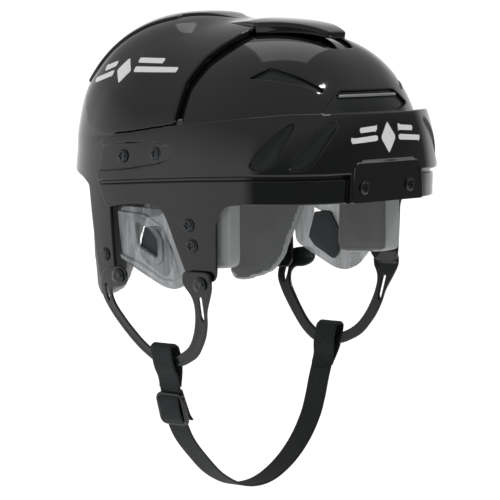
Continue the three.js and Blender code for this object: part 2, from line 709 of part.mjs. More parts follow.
place('front_shell', buildFrontShell(), GLOSS_BLACK());
place('rear_shell', buildRearShell(), GLOSS_BLACK());
place('forehead_pad', buildForeheadPad(), GREY_FOAM());
place('occipital_pad', buildOccipitalPad(), GREY_FOAM());
place('crown_pad_rear', buildRearCrownPad(), GREY_FOAM());

for (const [side, hand] of [[1, 'left'], [-1, 'right']]) {
  place(`ear_guard_${hand}`, buildEarGuard(side), CLEAR());
  place(`ear_pad_${hand}`, buildEarPad(side), CHARCOAL_FOAM());
  place(`temple_pad_${hand}`, buildTemplePad(side), GREY_FOAM());
  place(`rear_side_pad_${hand}`, buildRearSidePad(side), GREY_FOAM());
  place(`crown_pad_front_${hand}`, buildFrontCrownPad(side), GREY_FOAM());
  place(`ear_loop_${hand}`, buildEarLoop(side), BLACK_PLASTIC());
  SNAP_POSITIONS.forEach(([y, z], i) => {
    place(`loop_snap_${hand}_${i ? 'rear' : 'front'}`, buildSnap(side, y, z), BLACK_PLASTIC());
  });
  FRONT_SCREWS.forEach(([x, z]) => {
    const frame = plateFrame(side * x, z);
    place(`front_screw_${hand}`, screw(frame, GAP, PLATE_SCREW_TIP), DARK_STEEL());
    place(`front_nut_${hand}`, nut(frame, PLATE_NUT_TOP), PLAIN_STEEL());
  });
  TAB_SCREWS.forEach(([y, z], i) => {
    const frame = sideFrame(side, y, z);
    const level = i ? 'lower' : 'upper';
    place(`tab_screw_${level}_${hand}`, screw(frame, BROW_OUT + GAP, TAB_SCREW_TIP), DARK_STEEL());
    place(`tab_nut_${level}_${hand}`, nut(frame, GUARD_IN - GAP), PLAIN_STEEL());
  });
  ADJUST_SCREWS.forEach(([y, z], i) => {
    const frame = sideFrame(side, y, z);
    const level = i ? 'front' : 'rear';
    place(`adjust_screw_${level}_${hand}`, screw(frame, BAND_OUT + GAP, ADJUST_SCREW_TIP), DARK_STEEL());
    place(`adjust_nut_${level}_${hand}`, nut(frame, ADJUST_NUT_TOP), PLAIN_STEEL());
  });
  TAIL_SCREWS.forEach(([y, z]) => {
    const frame = sideFrame(side, y, z);
    place(`tail_screw_${hand}`, screw(frame, SKIRT_OUT + GAP, TAIL_SCREW_TIP), DARK_STEEL());
    place(`tail_nut_${hand}`, nut(frame, TAIL_NUT_TOP), PLAIN_STEEL());
  });
}

place('chin_strap', buildChinStrap(), WEBBING());
place('slide_buckle', buildSlideBuckle(), BLACK_PLASTIC());

export default helmet;
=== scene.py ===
# Looks for a two-piece adjustable ice-hockey helmet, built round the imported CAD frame.
# Lengths are millimetres up to the point where a mesh is made. +Z up, the face looks along -Y.
import math

import bpy
import numpy as np
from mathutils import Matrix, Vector


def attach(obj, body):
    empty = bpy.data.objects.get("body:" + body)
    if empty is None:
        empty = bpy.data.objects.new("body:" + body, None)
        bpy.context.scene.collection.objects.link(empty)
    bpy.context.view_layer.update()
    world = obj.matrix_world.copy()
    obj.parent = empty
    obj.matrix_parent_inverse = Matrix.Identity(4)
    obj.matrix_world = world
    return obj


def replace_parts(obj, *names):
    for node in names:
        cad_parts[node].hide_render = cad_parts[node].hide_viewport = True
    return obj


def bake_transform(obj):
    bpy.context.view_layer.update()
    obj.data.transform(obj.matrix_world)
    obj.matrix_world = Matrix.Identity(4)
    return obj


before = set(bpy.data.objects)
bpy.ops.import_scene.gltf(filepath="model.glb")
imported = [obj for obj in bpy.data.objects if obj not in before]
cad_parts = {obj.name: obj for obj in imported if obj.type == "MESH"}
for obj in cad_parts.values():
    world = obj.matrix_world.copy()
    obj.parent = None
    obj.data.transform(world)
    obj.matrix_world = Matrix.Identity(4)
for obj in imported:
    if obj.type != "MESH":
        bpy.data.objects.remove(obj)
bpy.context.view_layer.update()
MM = 0.001

# ------------------------------------------------------------------ driving dimensions, as in the CAD
# reference surface
HALF_WIDTH = 105.0
FRONT_LENGTH = 118.0
REAR_LENGTH = 114.0
FRONT_START = -10.0
REAR_START = 12.0
CROWN_HEIGHT = 124.0
CROWN_RISE = 0.058
CROWN_RISE_BLEND = 15.0
LOWER_HEIGHT = 230.0
SECTION_POWER = 2.35
FRONT_POWER = 3.2
REAR_POWER = 2.35

# heights of the faces over the reference surface, outwards
BAND_OUT = 4.0
BROW_OUT = 2.4
BROW_FRONT = 0.3
BROW_WALL = 2.2
SIDE_IN = 0.2
DOME_OUT = -5.2
DOME_IN = -8.0
TROUGH_OUT = -8.2
TROUGH_IN = -10.6
REAR_IN = -3.0
SKIRT_OUT = -1.6
SKIRT_IN = -4.6
RIDGE_OUT = 4.2
TONGUE_OUT = 2.4
TONGUE_IN = -1.2
GUARD_OUT = -5.4
GUARD_IN = -7.4

PLATE_Y = -129.6
SLIDE = 10.0
REACH = 200.0        # stands for "past the helmet" in an outline

# lines and outlines are [y, z] from the side, [x, y] from above and [x, z] from the front
BAND_TOP = [(-REACH, 62), (-105, 61), (-72, 57.5), (-30, 53), (17, 45.7), (REACH, 23)]
BAND_BOTTOM = [(-REACH, 19), (-82, 18), (-47, 16.6), (-3, 14), (46, 10.7), (REACH, 8)]
DOME_REAR = 10.0
LOOP_THICKNESS = 2.6
LOOP_CLEARANCE = 1.5
LOOP_LEAN = 0.286
LOOP_LEAN_START = -57.0
STRAP_WIDTH = 19.0
STRAP_THICKNESS = 1.8
STRAP_Y = -5.0

# radii of the shells' edges
BAND_EDGE = 1.5
LEDGE_EDGE = 1.9
GROOVE_EDGE = 1.3
TROUGH_EDGE = 1.4
VENT_EDGE = 0.7
BAR_EDGE = 1.2
DROP_EDGE = 0.5
PLATE_EDGE = 0.8
LIP_EDGE = 1.5
LIP_INNER_EDGE = 0.8
TONGUE_EDGE = 2.0
RIDGE_EDGE = 1.2
SHELL_RIM = 1.0

WALL = 0.15          # how far along the surface a near-vertical wall runs
RIM_STEPS = (0.076, 0.293, 0.617, 1.0)      # where a rounded edge is cut, in shares of its radius
HANDS = ((1, "left"), (-1, "right"))


# ------------------------------------------------------------------ camera
def make_camera():
    azimuth, elevation = math.radians(-50), math.radians(5)
    target, distance = Vector((0, -4.8, -42.6)) * MM, 2.142
    away = Vector((
        math.sin(azimuth) * math.cos(elevation),
        -math.cos(azimuth) * math.cos(elevation),
        math.sin(elevation),
    ))
    data = bpy.data.cameras.new("camera")
    data.lens = 212.1
    data.sensor_width = 36.0
    data.clip_end = 200.0
    camera = bpy.data.objects.new("camera", data)
    camera.location = target + away * distance
    camera.rotation_euler = (-away).to_track_quat("-Z", "Y").to_euler()
    bpy.context.scene.collection.objects.link(camera)
    bpy.context.scene.camera = camera


make_camera()


# ------------------------------------------------------------------ reference surface
def surface_value(p):
    y = p[:, 1]
    crown = CROWN_HEIGHT + CROWN_RISE * (y + np.hypot(y, CROWN_RISE_BLEND))
    x = np.abs(p[:, 0]) / HALF_WIDTH
    z = np.where(p[:, 2] > 0, p[:, 2] / crown, -p[:, 2] / LOWER_HEIGHT)
    section = x ** SECTION_POWER + z ** SECTION_POWER
    ahead = np.maximum(0, FRONT_START - y) / FRONT_LENGTH
    back = np.maximum(0, y - REAR_START) / REAR_LENGTH
    front = section ** (FRONT_POWER / SECTION_POWER) + ahead ** FRONT_POWER
    rear = section + back ** REAR_POWER
    return np.where(y < FRONT_START, front, rear)


def reach(points_at, count, far):
    """How far along its own line each point leaves the reference surface, by halving."""
    low, high = np.zeros(count), np.full(count, far)
    for _ in range(34):
        middle = (low + high) / 2
        outside = surface_value(points_at(middle)) > 1
        high = np.where(outside, middle, high)
        low = np.where(outside, low, middle)
    return low


def on_surface(direction):
    return direction * reach(lambda t: direction * t[:, None], len(direction), 320.0)[:, None]


def half_width_at(y, z):
    y = np.atleast_1d(np.asarray(y, float))
    z = np.atleast_1d(np.asarray(z, float))
    return reach(lambda x: np.stack([x, y, z], 1), len(y), HALF_WIDTH * 1.1)


def surface_normal(p):
    normal = np.empty_like(p)
    for axis in range(3):
        step = np.zeros(3)
        step[axis] = 0.5
        normal[:, axis] = surface_value(p + step) - surface_value(p - step)
    return normal / np.linalg.norm(normal, axis=1)[:, None]


# ------------------------------------------------------------------ lines and outlines
def smoothstep(a, b, v):
    t = np.clip((v - a) / (b - a), 0, 1)
    return t * t * (3 - 2 * t)


def line_height(line, y):
    return np.interp(y, [q[0] for q in line], [q[1] for q in line])


def rounded(points, radius=3.0, steps=5):
    """The outline with each corner turned into a short curve."""
    points = [np.array(q, float) for q in points]
    out = []
    for i, corner in enumerate(points):
        before, after = points[i - 1] - corner, points[(i + 1) % len(points)] - corner
        start = corner + before * min(0.45, radius / max(np.hypot(*before), 1e-6))
        end = corner + after * min(0.45, radius / max(np.hypot(*after), 1e-6))
        for t in np.linspace(0, 1, steps):
            q = start * (1 - t) ** 2 + corner * 2 * t * (1 - t) + end * t * t
            out.append((float(q[0]), float(q[1])))
    return out


def outline_distance(outline, a, b):
    """Distance to a closed outline, positive inside it."""
    best = np.full(len(a), 1e9)
    inside = np.zeros(len(a), bool)
    for i, (a0, b0) in enumerate(outline):
        a1, b1 = outline[(i + 1) % len(outline)]
        da, db = a1 - a0, b1 - b0
        length = da * da + db * db
        if length < 1e-9:
            continue
        t = np.clip(((a - a0) * da + (b - b0) * db) / length, 0, 1)
        best = np.minimum(best, (a - a0 - t * da) ** 2 + (b - b0 - t * db) ** 2)
        crosses = (b0 > b) != (b1 > b)
        with np.errstate(divide="ignore", invalid="ignore"):
            at = a0 + (b - b0) * da / db if db else np.full(len(a), 1e9)
        inside ^= crosses & (a < at)
    return np.where(inside, 1, -1) * np.sqrt(best)


def side_field(outline, radius=0.0, mask_x=None):
    """Positive inside a side-view outline [y, z] with rounded corners, on both sides of the helmet alike;
    mask_x keeps it away from the middle plane."""
    outline = rounded(outline, radius) if radius else outline

    def field(p):
        d = outline_distance(outline, p[:, 1], p[:, 2])
        return d if mask_x is None else np.minimum(d, np.abs(p[:, 0]) - mask_x)
    return field


def mirrored(points):
    """A whole outline from its half with x > 0, which runs from the middle line to the middle line."""
    return list(points) + [(-x, y) for x, y in reversed(points)]


def top_field(outline, floor=60.0):
    """Positive inside a top-view outline [x, y] above a height."""
    def field(p):
        return np.minimum(outline_distance(outline, p[:, 0], p[:, 1]), p[:, 2] - floor)
    return field


def front_field(outline, back=-80.0):
    """Positive inside a front-view outline [x, z] ahead of a depth."""
    def field(p):
        return np.minimum(outline_distance(outline, p[:, 0], p[:, 2]), back - p[:, 1])
    return field


def slanted_field(points, out, behind=60.0):
    """Positive inside an outline of 3-D points seen along out, on both sides of the helmet alike."""
    out = np.array(out) / np.linalg.norm(out)
    across = np.array([1.0, -1.0, 0.0]) / math.sqrt(2)
    up = np.cross(out, across)
    points = np.array(points, float)
    outline = rounded(list(zip(points @ across, points @ up)), 0.8)

    def field(p):
        q = p.copy()
        q[:, 0] = -np.abs(q[:, 0])
        return np.minimum(outline_distance(outline, q @ across, q @ up), q @ out - behind)
    return field


def lifted(field, offset):
    """The field as seen by a face that lies at an offset from the reference surface."""
    return lambda p: field(p + surface_normal(p) * offset)


def edge(d, low, high, radius):
    """Height across an edge: low where d < 0, a near-vertical wall, then a rounded corner up to high."""
    radius = np.minimum(radius, 0.9 * np.abs(high - low) + 1e-6)
    rise = np.clip(1 - (d - WALL) / radius, 0, 1)
    way = np.sign(high - low)
    drop = radius * (1 - np.sqrt(np.maximum(0, 1 - rise * rise))) * way
    foot = high - radius * way
    return np.where(d <= WALL, low + (foot - low) * np.clip(d / WALL, 0, 1), high - drop)


def edge_levels(radius):
    return [-0.25, 0.0, WALL] + [WALL + share * radius for share in RIM_STEPS]


# ------------------------------------------------------------------ surface meshes cut along lines
def grid_triangles(rows, columns):
    """Two triangles for each cell of a grid of points."""
    index = np.arange(rows * columns).reshape(rows, columns)
    a, b = index[:-1, :-1].ravel(), index[1:, :-1].ravel()
    c, d = index[1:, 1:].ravel(), index[:-1, 1:].ravel()
    return np.concatenate([np.stack([a, b, c], 1), np.stack([a, c, d], 1)])


def direction_grid(count):
    """Directions on a cube's upper five faces, welded along its edges, with triangles facing outwards."""
    angle = np.tan(np.linspace(-math.pi / 4, math.pi / 4, count + 1))
    u, v = np.meshgrid(angle, angle, indexing="ij")
    one = np.ones_like(u)
    sides = [(u, v, one), (one, u, v), (v, one, u), (-one, v, u), (u, -one, v)]
    flat = grid_triangles(count + 1, count + 1)
    points, tris = [], []
    for k, face in enumerate(sides):
        points.append(np.stack([q.ravel() for q in face], 1))
        tris.append(flat + k * u.size)
    points = np.concatenate(points)
    tris = np.concatenate(tris)
    _, first, back = np.unique(np.round(points, 6), axis=0, return_index=True, return_inverse=True)
    points = points[first]
    return points / np.linalg.norm(points, axis=1)[:, None], back.ravel()[tris]


def split(points, tris, field, level):
    """Cuts the triangles along field = level."""
    value = field(points) - level
    value = np.where(np.abs(value) < 1e-4, 1e-4, value)
    above = value > 0
    count = above[tris].sum(1)
    mixed = (count == 1) | (count == 2)
    t = tris[mixed]
    if not len(t):
        return points, tris
    s = above[t]
    lone = np.where(s.sum(1) == 1, s.argmax(1), (~s).argmax(1))
    row = np.arange(len(t))
    a, b, c = t[row, lone], t[row, (lone + 1) % 3], t[row, (lone + 2) % 3]
    low = np.concatenate([np.minimum(a, b), np.minimum(a, c)]).astype(np.int64)
    high = np.concatenate([np.maximum(a, b), np.maximum(a, c)]).astype(np.int64)
    key, index = np.unique(low * len(points) + high, return_inverse=True)
    e0, e1 = key // len(points), key % len(points)
    v0, v1 = value[e0], value[e1]
    f = v0 / (v0 - v1)
    p0, p1 = points[e0], points[e1]
    guess = field(p0 + (p1 - p0) * f[:, None]) - level
    same = np.sign(guess) == np.sign(v0)
    with np.errstate(divide="ignore", invalid="ignore"):
        better = np.where(same, f + (1 - f) * guess / (guess - v1), f * v0 / (v0 - guess))
    f = np.clip(np.where(np.isfinite(better), better, f), 0.002, 0.998)
    new = p0 + (p1 - p0) * f[:, None]
    p, q = len(points) + index[:len(t)], len(points) + index[len(t):]
    tris = np.concatenate([
        tris[~mixed], np.stack([a, p, q], 1), np.stack([p, b, c], 1), np.stack([p, c, q], 1),
    ])
    return np.concatenate([points, new]), tris


def used(points, tris):
    """Only the points that the triangles use."""
    keep, index = np.unique(tris, return_inverse=True)
    return points[keep], index.reshape(-1, 3)


def cut_sheet(points, tris, domain, cuts, rim, margin=4.0):
    """The part of a surface inside domain, cut along the levels of each field in cuts and along its rim."""
    points, tris = used(points, tris[(domain(points)[tris] > -margin).any(1)])
    for field, levels in cuts:
        for level in levels:
            points, tris = split(points, tris, field, level)
    points, tris = split(points, tris, domain, 0.0)
    points, tris = used(points, tris[domain(points[tris].mean(1)) > 0])
    for share in RIM_STEPS:
        points, tris = split(points, tris, domain, share * rim)
    return points, tris


def boundary(tris):
    """The edges that only one triangle has."""
    edges = np.concatenate([tris[:, [0, 1]], tris[:, [1, 2]], tris[:, [2, 0]]]).astype(np.int64)
    n = int(tris.max()) + 1
    key = np.minimum(edges[:, 0], edges[:, 1]) * n + np.maximum(edges[:, 0], edges[:, 1])
    _, index, count = np.unique(key, return_inverse=True, return_counts=True)
    return edges[count[index] == 1]


def rim_drop(d, rim):
    """How far a face turns in near its free edge."""
    t = np.clip(1 - d / rim, 0, 1)
    return rim * (1 - np.sqrt(np.maximum(0, 1 - t * t)))


def surface_directions(p):
    """Two directions along the reference surface at each point."""
    normal = surface_normal(p)
    axis = np.where(np.abs(normal[:, 2:3]) > 0.8, np.array([[1.0, 0, 0]]), np.array([[0, 0, 1.0]]))
    first = np.cross(axis, normal)
    first /= np.linalg.norm(first, axis=1)[:, None]
    return first, np.cross(normal, first)


def shading_normals(points, place, flip, directions, step=0.12):
    first, second = directions(points)
    across = place(points + first * step) - place(points - first * step)
    along = place(points + second * step) - place(points - second * step)
    normal = np.cross(across, along)
    length = np.linalg.norm(normal, axis=1)
    normal /= np.maximum(length, 1e-12)[:, None]
    return -normal if flip else normal


def add_mesh(name, vertices, faces, normals=None, material_index=None, smooth=True):
    mesh = bpy.data.meshes.new(name)
    mesh.from_pydata((np.asarray(vertices) * MM).tolist(), [], [tuple(map(int, f)) for f in faces])
    if smooth:
        mesh.shade_smooth()
    if material_index is not None:
        mesh.polygons.foreach_set("material_index", np.asarray(material_index, np.int32))
    if normals is not None:
        mesh.normals_split_custom_set_from_vertices(np.asarray(normals).tolist())
    mesh.update()
    piece = bpy.data.objects.new(name, mesh)
    bpy.context.scene.collection.objects.link(piece)
    return piece


def build_sheet(name, grid, domain, cuts, outer, inner, rim, mirror=1, directions=surface_directions,
                zones=()):
    """A closed thin body from a cut surface: outer(points) and inner(points) give its two faces.
    zones are (field, material index) pairs for the outer face."""
    points, tris = cut_sheet(*grid, domain, cuts, rim)
    top, bottom = outer(points), inner(points)
    count = len(points)
    loop = boundary(tris)
    rim_faces = np.stack([loop[:, 1], loop[:, 0], loop[:, 0] + count, loop[:, 1] + count], 1)
    vertices = np.concatenate([top, bottom])
    normals = np.concatenate([
        shading_normals(points, outer, False, directions),
        shading_normals(points, inner, True, directions),
    ])
    index = np.zeros(len(tris) * 2 + len(rim_faces), int)
    centre = points[tris].mean(1)
    for field, slot in zones:
        index[:len(tris)][field(centre) > 0] = slot
    faces = [tuple(f) for f in tris.tolist()]
    faces += [(f[2] + count, f[1] + count, f[0] + count) for f in tris.tolist()]
    faces += [tuple(f) for f in rim_faces.tolist()]
    if mirror < 0:
        vertices = vertices * np.array([-1, 1, 1])
        normals = normals * np.array([-1, 1, 1])
        faces = [f[::-1] for f in faces]
    return add_mesh(name, vertices, faces, normals, index)


def face_place(offset, drop, out, shape=None):
    """One face of a thin body: offset(points) along the surface's normal, turned in by drop(points) near its
    free edge, and then reshaped."""
    def place(p, extra=0.0):
        turned_in = drop(p)
        height = offset(p) - turned_in + extra if out else offset(p) + turned_in
        moved = p + surface_normal(p) * height[:, None]
        return moved if shape is None else shape(p, moved)
    return place


def rim_of(domain, rim):
    return lambda p: rim_drop(domain(p), rim)


def constant(value):
    return lambda p: np.full(len(p), float(value))


def surface_grid(count):
    directions, tris = direction_grid(count)
    return on_surface(directions), tris


FINE_GRID = surface_grid(84)
COARSE_GRID = surface_grid(56)


# ------------------------------------------------------------------ materials
def node_material(name):
    material = bpy.data.materials.new(name)
    material.use_nodes = True
    tree = material.node_tree
    shader = next(n for n in tree.nodes if n.type == "BSDF_PRINCIPLED")
    coordinates = tree.nodes.new("ShaderNodeTexCoord")
    return material, tree, shader, coordinates


def add_node(tree, kind, **values):
    node = tree.nodes.new(kind)
    for key, value in values.items():
        if key in node.inputs:
            node.inputs[key].default_value = value
        else:
            setattr(node, key, value)
    return node


def noise(tree, coordinates, scale, detail=4.0, roughness=0.55, stretch=None):
    node = add_node(tree, "ShaderNodeTexNoise", Scale=scale, Detail=detail, Roughness=roughness)
    source = coordinates.outputs["Object"]
    if stretch is not None:
        mapping = tree.nodes.new("ShaderNodeMapping")
        mapping.inputs["Scale"].default_value = stretch
        tree.links.new(source, mapping.inputs["Vector"])
        source = mapping.outputs["Vector"]
    tree.links.new(source, node.inputs["Vector"])
    return node.outputs["Fac"]


def remap(tree, value, low, high, start=0.0, end=1.0):
    node = tree.nodes.new("ShaderNodeMapRange")
    for key, number in (("From Min", start), ("From Max", end), ("To Min", low), ("To Max", high)):
        node.inputs[key].default_value = number
    tree.links.new(value, node.inputs["Value"])
    return node.outputs["Result"]


def mix_colour(tree, factor, first, second):
    node = tree.nodes.new("ShaderNodeMix")
    node.data_type = "RGBA"
    node.inputs[6].default_value = (*first, 1)
    node.inputs[7].default_value = (*second, 1)
    tree.links.new(factor, node.inputs[0])
    return node.outputs[2]


def bump(tree, height, strength, distance, under=None):
    node = add_node(tree, "ShaderNodeBump", Strength=strength, Distance=distance)
    tree.links.new(height, node.inputs["Height"])
    if under is not None:
        tree.links.new(under, node.inputs["Normal"])
    return node.outputs["Normal"]


def combine(tree, operation, first, second):
    node = add_node(tree, "ShaderNodeMath", operation=operation)
    for k, value in enumerate((first, second)):
        if isinstance(value, (int, float)):
            node.inputs[k].default_value = value
        else:
            tree.links.new(value, node.inputs[k])
    return node.outputs[0]


def finish(tree, shader, colour, roughness, normal, **constants):
    """Links the inputs that vary over the surface; the others are set on the shader's own sockets."""
    for socket, source in (("Base Color", colour), ("Roughness", roughness), ("Normal", normal)):
        tree.links.new(source, shader.inputs[socket])
    for socket, value in constants.items():
        shader.inputs[socket.replace("_", " ")].default_value = value


def cells(tree, coordinates, scale):
    node = add_node(tree, "ShaderNodeTexVoronoi", Scale=scale)
    tree.links.new(coordinates.outputs["Object"], node.inputs["Vector"])
    return node.outputs["Distance"]


def blend(tree, first, second, share):
    return combine(tree, "ADD", combine(tree, "MULTIPLY", first, share),
                   combine(tree, "MULTIPLY", second, 1 - share))


def gloss_black():
    material, tree, shader, co = node_material("gloss_black")
    colour = mix_colour(tree, noise(tree, co, 9, 3), (0.0035, 0.004, 0.0045), (0.007, 0.008, 0.009))
    smears = noise(tree, co, 26, 6, 0.6)
    peel = bump(tree, noise(tree, co, 420, 2), 0.05, 0.00004)
    hairlines = noise(tree, co, 180, 3, 0.5, (0.06, 1.0, 3.0))
    finish(tree, shader, colour, remap(tree, smears, 0.045, 0.10, 0.3, 0.7),
           bump(tree, hairlines, 0.03, 0.00003, peel), Specular_IOR_Level=0.46)
    return material


def recess_black():
    material, tree, shader, co = node_material("recess_texture")
    grain = noise(tree, co, 900, 3, 0.6)
    colour = mix_colour(tree, noise(tree, co, 60, 4), (0.003, 0.004, 0.004), (0.014, 0.017, 0.017))
    finish(tree, shader, colour, remap(tree, grain, 0.30, 0.5), bump(tree, grain, 0.5, 0.0004),
           Specular_IOR_Level=0.32)
    return material


def black_plastic(name="black_plastic", low=0.16, high=0.28):
    material, tree, shader, co = node_material(name)
    grain = noise(tree, co, 700, 3, 0.6)
    patches = noise(tree, co, 30, 4)
    finish(tree, shader, mix_colour(tree, patches, (0.004, 0.005, 0.0055), (0.010, 0.012, 0.013)),
           remap(tree, patches, low, high, 0.3, 0.7), bump(tree, grain, 0.12, 0.0002))
    return material


def clear_plastic():
    material, tree, shader, co = node_material("clear_plastic")
    haze = noise(tree, co, 40, 5, 0.6)
    # the grey tint is the guard's own colour; its lighter stretched streaks are painted highlights of
    # reflected light
    painted_highlight_streaks = remap(tree, noise(tree, co, 55, 4, 0.6, (1.0, 1.6, 0.25)), 0, 1, 0.42, 0.62)
    finish(tree, shader, mix_colour(tree, painted_highlight_streaks, (0.13, 0.14, 0.15), (0.42, 0.44, 0.46)),
           remap(tree, haze, 0.05, 0.16, 0.3, 0.7), bump(tree, noise(tree, co, 120, 3), 0.08, 0.0003),
           Alpha=0.66, IOR=1.5, Specular_IOR_Level=0.7)
    return material


def foam(name, dark, light, grain_scale=1500.0):
    material, tree, shader, co = node_material(name)
    patches = noise(tree, co, 35, 5, 0.6)
    speckle = noise(tree, co, 1100, 2)
    under = bump(tree, patches, 0.15, 0.001)
    finish(tree, shader, mix_colour(tree, blend(tree, patches, speckle, 0.6), dark, light),
           remap(tree, speckle, 0.82, 0.97), bump(tree, cells(tree, co, grain_scale), 0.5, 0.0003, under),
           Specular_IOR_Level=0.2, Sheen_Weight=0.15)
    return material


def steel(name, dark, light, low, high):
    material, tree, shader, co = node_material(name)
    brushed = noise(tree, co, 600, 4, 0.6, (1.0, 1.0, 0.15))
    finish(tree, shader, mix_colour(tree, brushed, dark, light), remap(tree, brushed, low, high),
           bump(tree, brushed, 0.15, 0.0001), Metallic=0.9)
    return material


def webbing():
    material, tree, shader, co = node_material("webbing")
    fuzz = noise(tree, co, 2200, 3, 0.65)
    patches = noise(tree, co, 70, 4)
    under = bump(tree, cells(tree, co, 1400.0), 0.6, 0.0003)
    finish(tree, shader, mix_colour(tree, blend(tree, fuzz, patches, 0.55), (0.003, 0.0035, 0.004),
                                    (0.022, 0.025, 0.027)),
           remap(tree, fuzz, 0.62, 0.9), bump(tree, fuzz, 0.35, 0.0002, under),
           Sheen_Weight=0.08, Specular_IOR_Level=0.25)
    return material


def mark_white():
    material, tree, shader, co = node_material("white_print")
    patches = noise(tree, co, 120, 4)
    finish(tree, shader, mix_colour(tree, patches, (0.80, 0.81, 0.82), (0.93, 0.93, 0.94)),
           remap(tree, patches, 0.18, 0.30), bump(tree, noise(tree, co, 900, 2), 0.05, 0.0001))
    return material


GLOSS = gloss_black()
RECESS = recess_black()
PLASTIC = black_plastic()
CLEAR = clear_plastic()
GREY_FOAM = foam("grey_foam", (0.095, 0.101, 0.097), (0.185, 0.193, 0.186))
PALE_FOAM = foam("cut_foam", (0.26, 0.272, 0.262), (0.38, 0.40, 0.385), 900.0)
CHARCOAL = foam("charcoal_foam", (0.030, 0.034, 0.036), (0.060, 0.066, 0.070))
DARK_STEEL = steel("dark_steel", (0.02, 0.021, 0.023), (0.075, 0.078, 0.082), 0.16, 0.32)
PLAIN_STEEL = steel("plain_steel", (0.42, 0.43, 0.44), (0.62, 0.63, 0.64), 0.25, 0.45)
WEBBING = webbing()
WHITE = mark_white()
THREAD = black_plastic("thread", 0.5, 0.8)
# lighter grey metal colour for the bar in the slot vent: a painted reflection of the light along the bar
BAR_PAINTED_REFLECTION = steel("slot_bar_painted_reflection", (0.30, 0.31, 0.32), (0.46, 0.47, 0.48), 0.25, 0.4)


def dress(piece, slot, *materials):
    for material in materials:
        piece.data.materials.append(material)


def stand_for(piece, body, node):
    """The piece rides on a body and takes a CAD node's place."""
    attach(piece, body)
    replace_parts(piece, node)


# ------------------------------------------------------------------ front shell
EAR_OPENING_AND_TAB = [
    (-REACH, -1), (-80, -1), (-70, -2), (-65, -6), (-62.4, -13), (-61.6, -50), (-59, -55),
    (-40, -55), (-35, -50), (-26.4, -31), (-21.8, -20.7), (-17.4, -11.8), (-12.8, -6.4),
    (-4, -3.4), (20, -4.1), (39.5, -7.6), (47.8, 10), (48.4, 17.7), (44.6, 39.5), (40, 42.1),
    (17, 45.7), (-21, 51.6), (-21.5, 58.2), (DOME_REAR, 53.5), (DOME_REAR, REACH), (-REACH, REACH),
]
TEARDROPS = [
    [(-108.5, 56), (-101, 48), (-92.5, 37), (-86.5, 26), (-90, 22.5), (-97, 23.5), (-103, 28.5), (-105.5, 39),
     (-109.2, 51)],
    [(-123.6, 57.5), (-120.2, 50), (-115, 39), (-109, 26), (-112, 22.5), (-117.5, 23.5), (-120.8, 29),
     (-122.8, 39), (-124.6, 51)],
]
SIDE_MASK = 20.0
VENT_CORNERS = [(-72.5, -64.5, 84), (-60.6, -74.6, 91), (-40.7, -105.5, 74.5), (-42.5, -104.3, 72.5)]
VENT_OUT = (-0.62, -0.62, 0.48)
RECESS_OUTLINE = [
    (70, 34), (44, 36), (17, 39), (-8, 39.4), (-28, 36.6),
    (-32, 31), (-11, 24.3), (18, 19.7), (44, 17.5), (70, 17),
]
front_edge = side_field(EAR_OPENING_AND_TAB, 3.2)
trough = lifted(top_field(rounded(mirrored([(12.5, -90), (38, -36), (38, 20)]), 3.0)), DOME_OUT)
trough_liner = lifted(top_field(rounded(mirrored([(15, -93), (41, -36), (41, 20)]), 3.0)), DOME_OUT)
drops = [lifted(side_field(outline, 3.0, SIDE_MASK), BAND_OUT) for outline in TEARDROPS]
vent = lifted(slanted_field(VENT_CORNERS, VENT_OUT), DOME_OUT)
slot_vent = lifted(front_field(rounded(mirrored([(30, 76), (46, 66), (30, 61.5)]), 1.0)), DOME_OUT)
slot_bar = lifted(front_field(mirrored([(33, 74.2), (33, 71.4)])), DOME_OUT)
plate = front_field(rounded(mirrored([(42, -20), (41, 4), (40, 23), (35, 30)]), 3.0), -90.0)
screw_recess = side_field(RECESS_OUTLINE, 3.0, 60.0)
GROOVE = 1.9
GROOVE_DEPTH = 1.2
VENT_DEPTH = 2.0
SLOT_DEPTH = 2.2
BAR_DEPTH = 0.2
RECESS_DEPTH = 1.5
DROP_DEPTH = 1.5
DROP_DISH = 1.1
PLATE_BEVEL = 4.2            # width and depth of the plate's bevel, and its inner face
PLATE_BEVEL_DEPTH = 3.5
PLATE_IN = -2.2
PLATE_INNER_TOP = 40
BAND_TOP_PROBE = 2.0         # the band's top edge is measured this far off the surface
BRIDGE = 3.0                 # how much lower the inner step lies ahead of the side slots


def under_band_top(p):
    """Distance below the band's top edge."""
    q = p + surface_normal(p) * BAND_TOP_PROBE
    return line_height(BAND_TOP, q[:, 1]) - q[:, 2]


def over_band_bottom(p):
    return p[:, 2] - line_height(BAND_BOTTOM, p[:, 1])


def under_groove(p):
    """Distance below the groove along the band's lower edge."""
    return -over_band_bottom(p) - GROOVE


def brow_offset(p):
    return BROW_OUT - (BROW_OUT - BROW_FRONT) * smoothstep(-70, -112, p[:, 1])


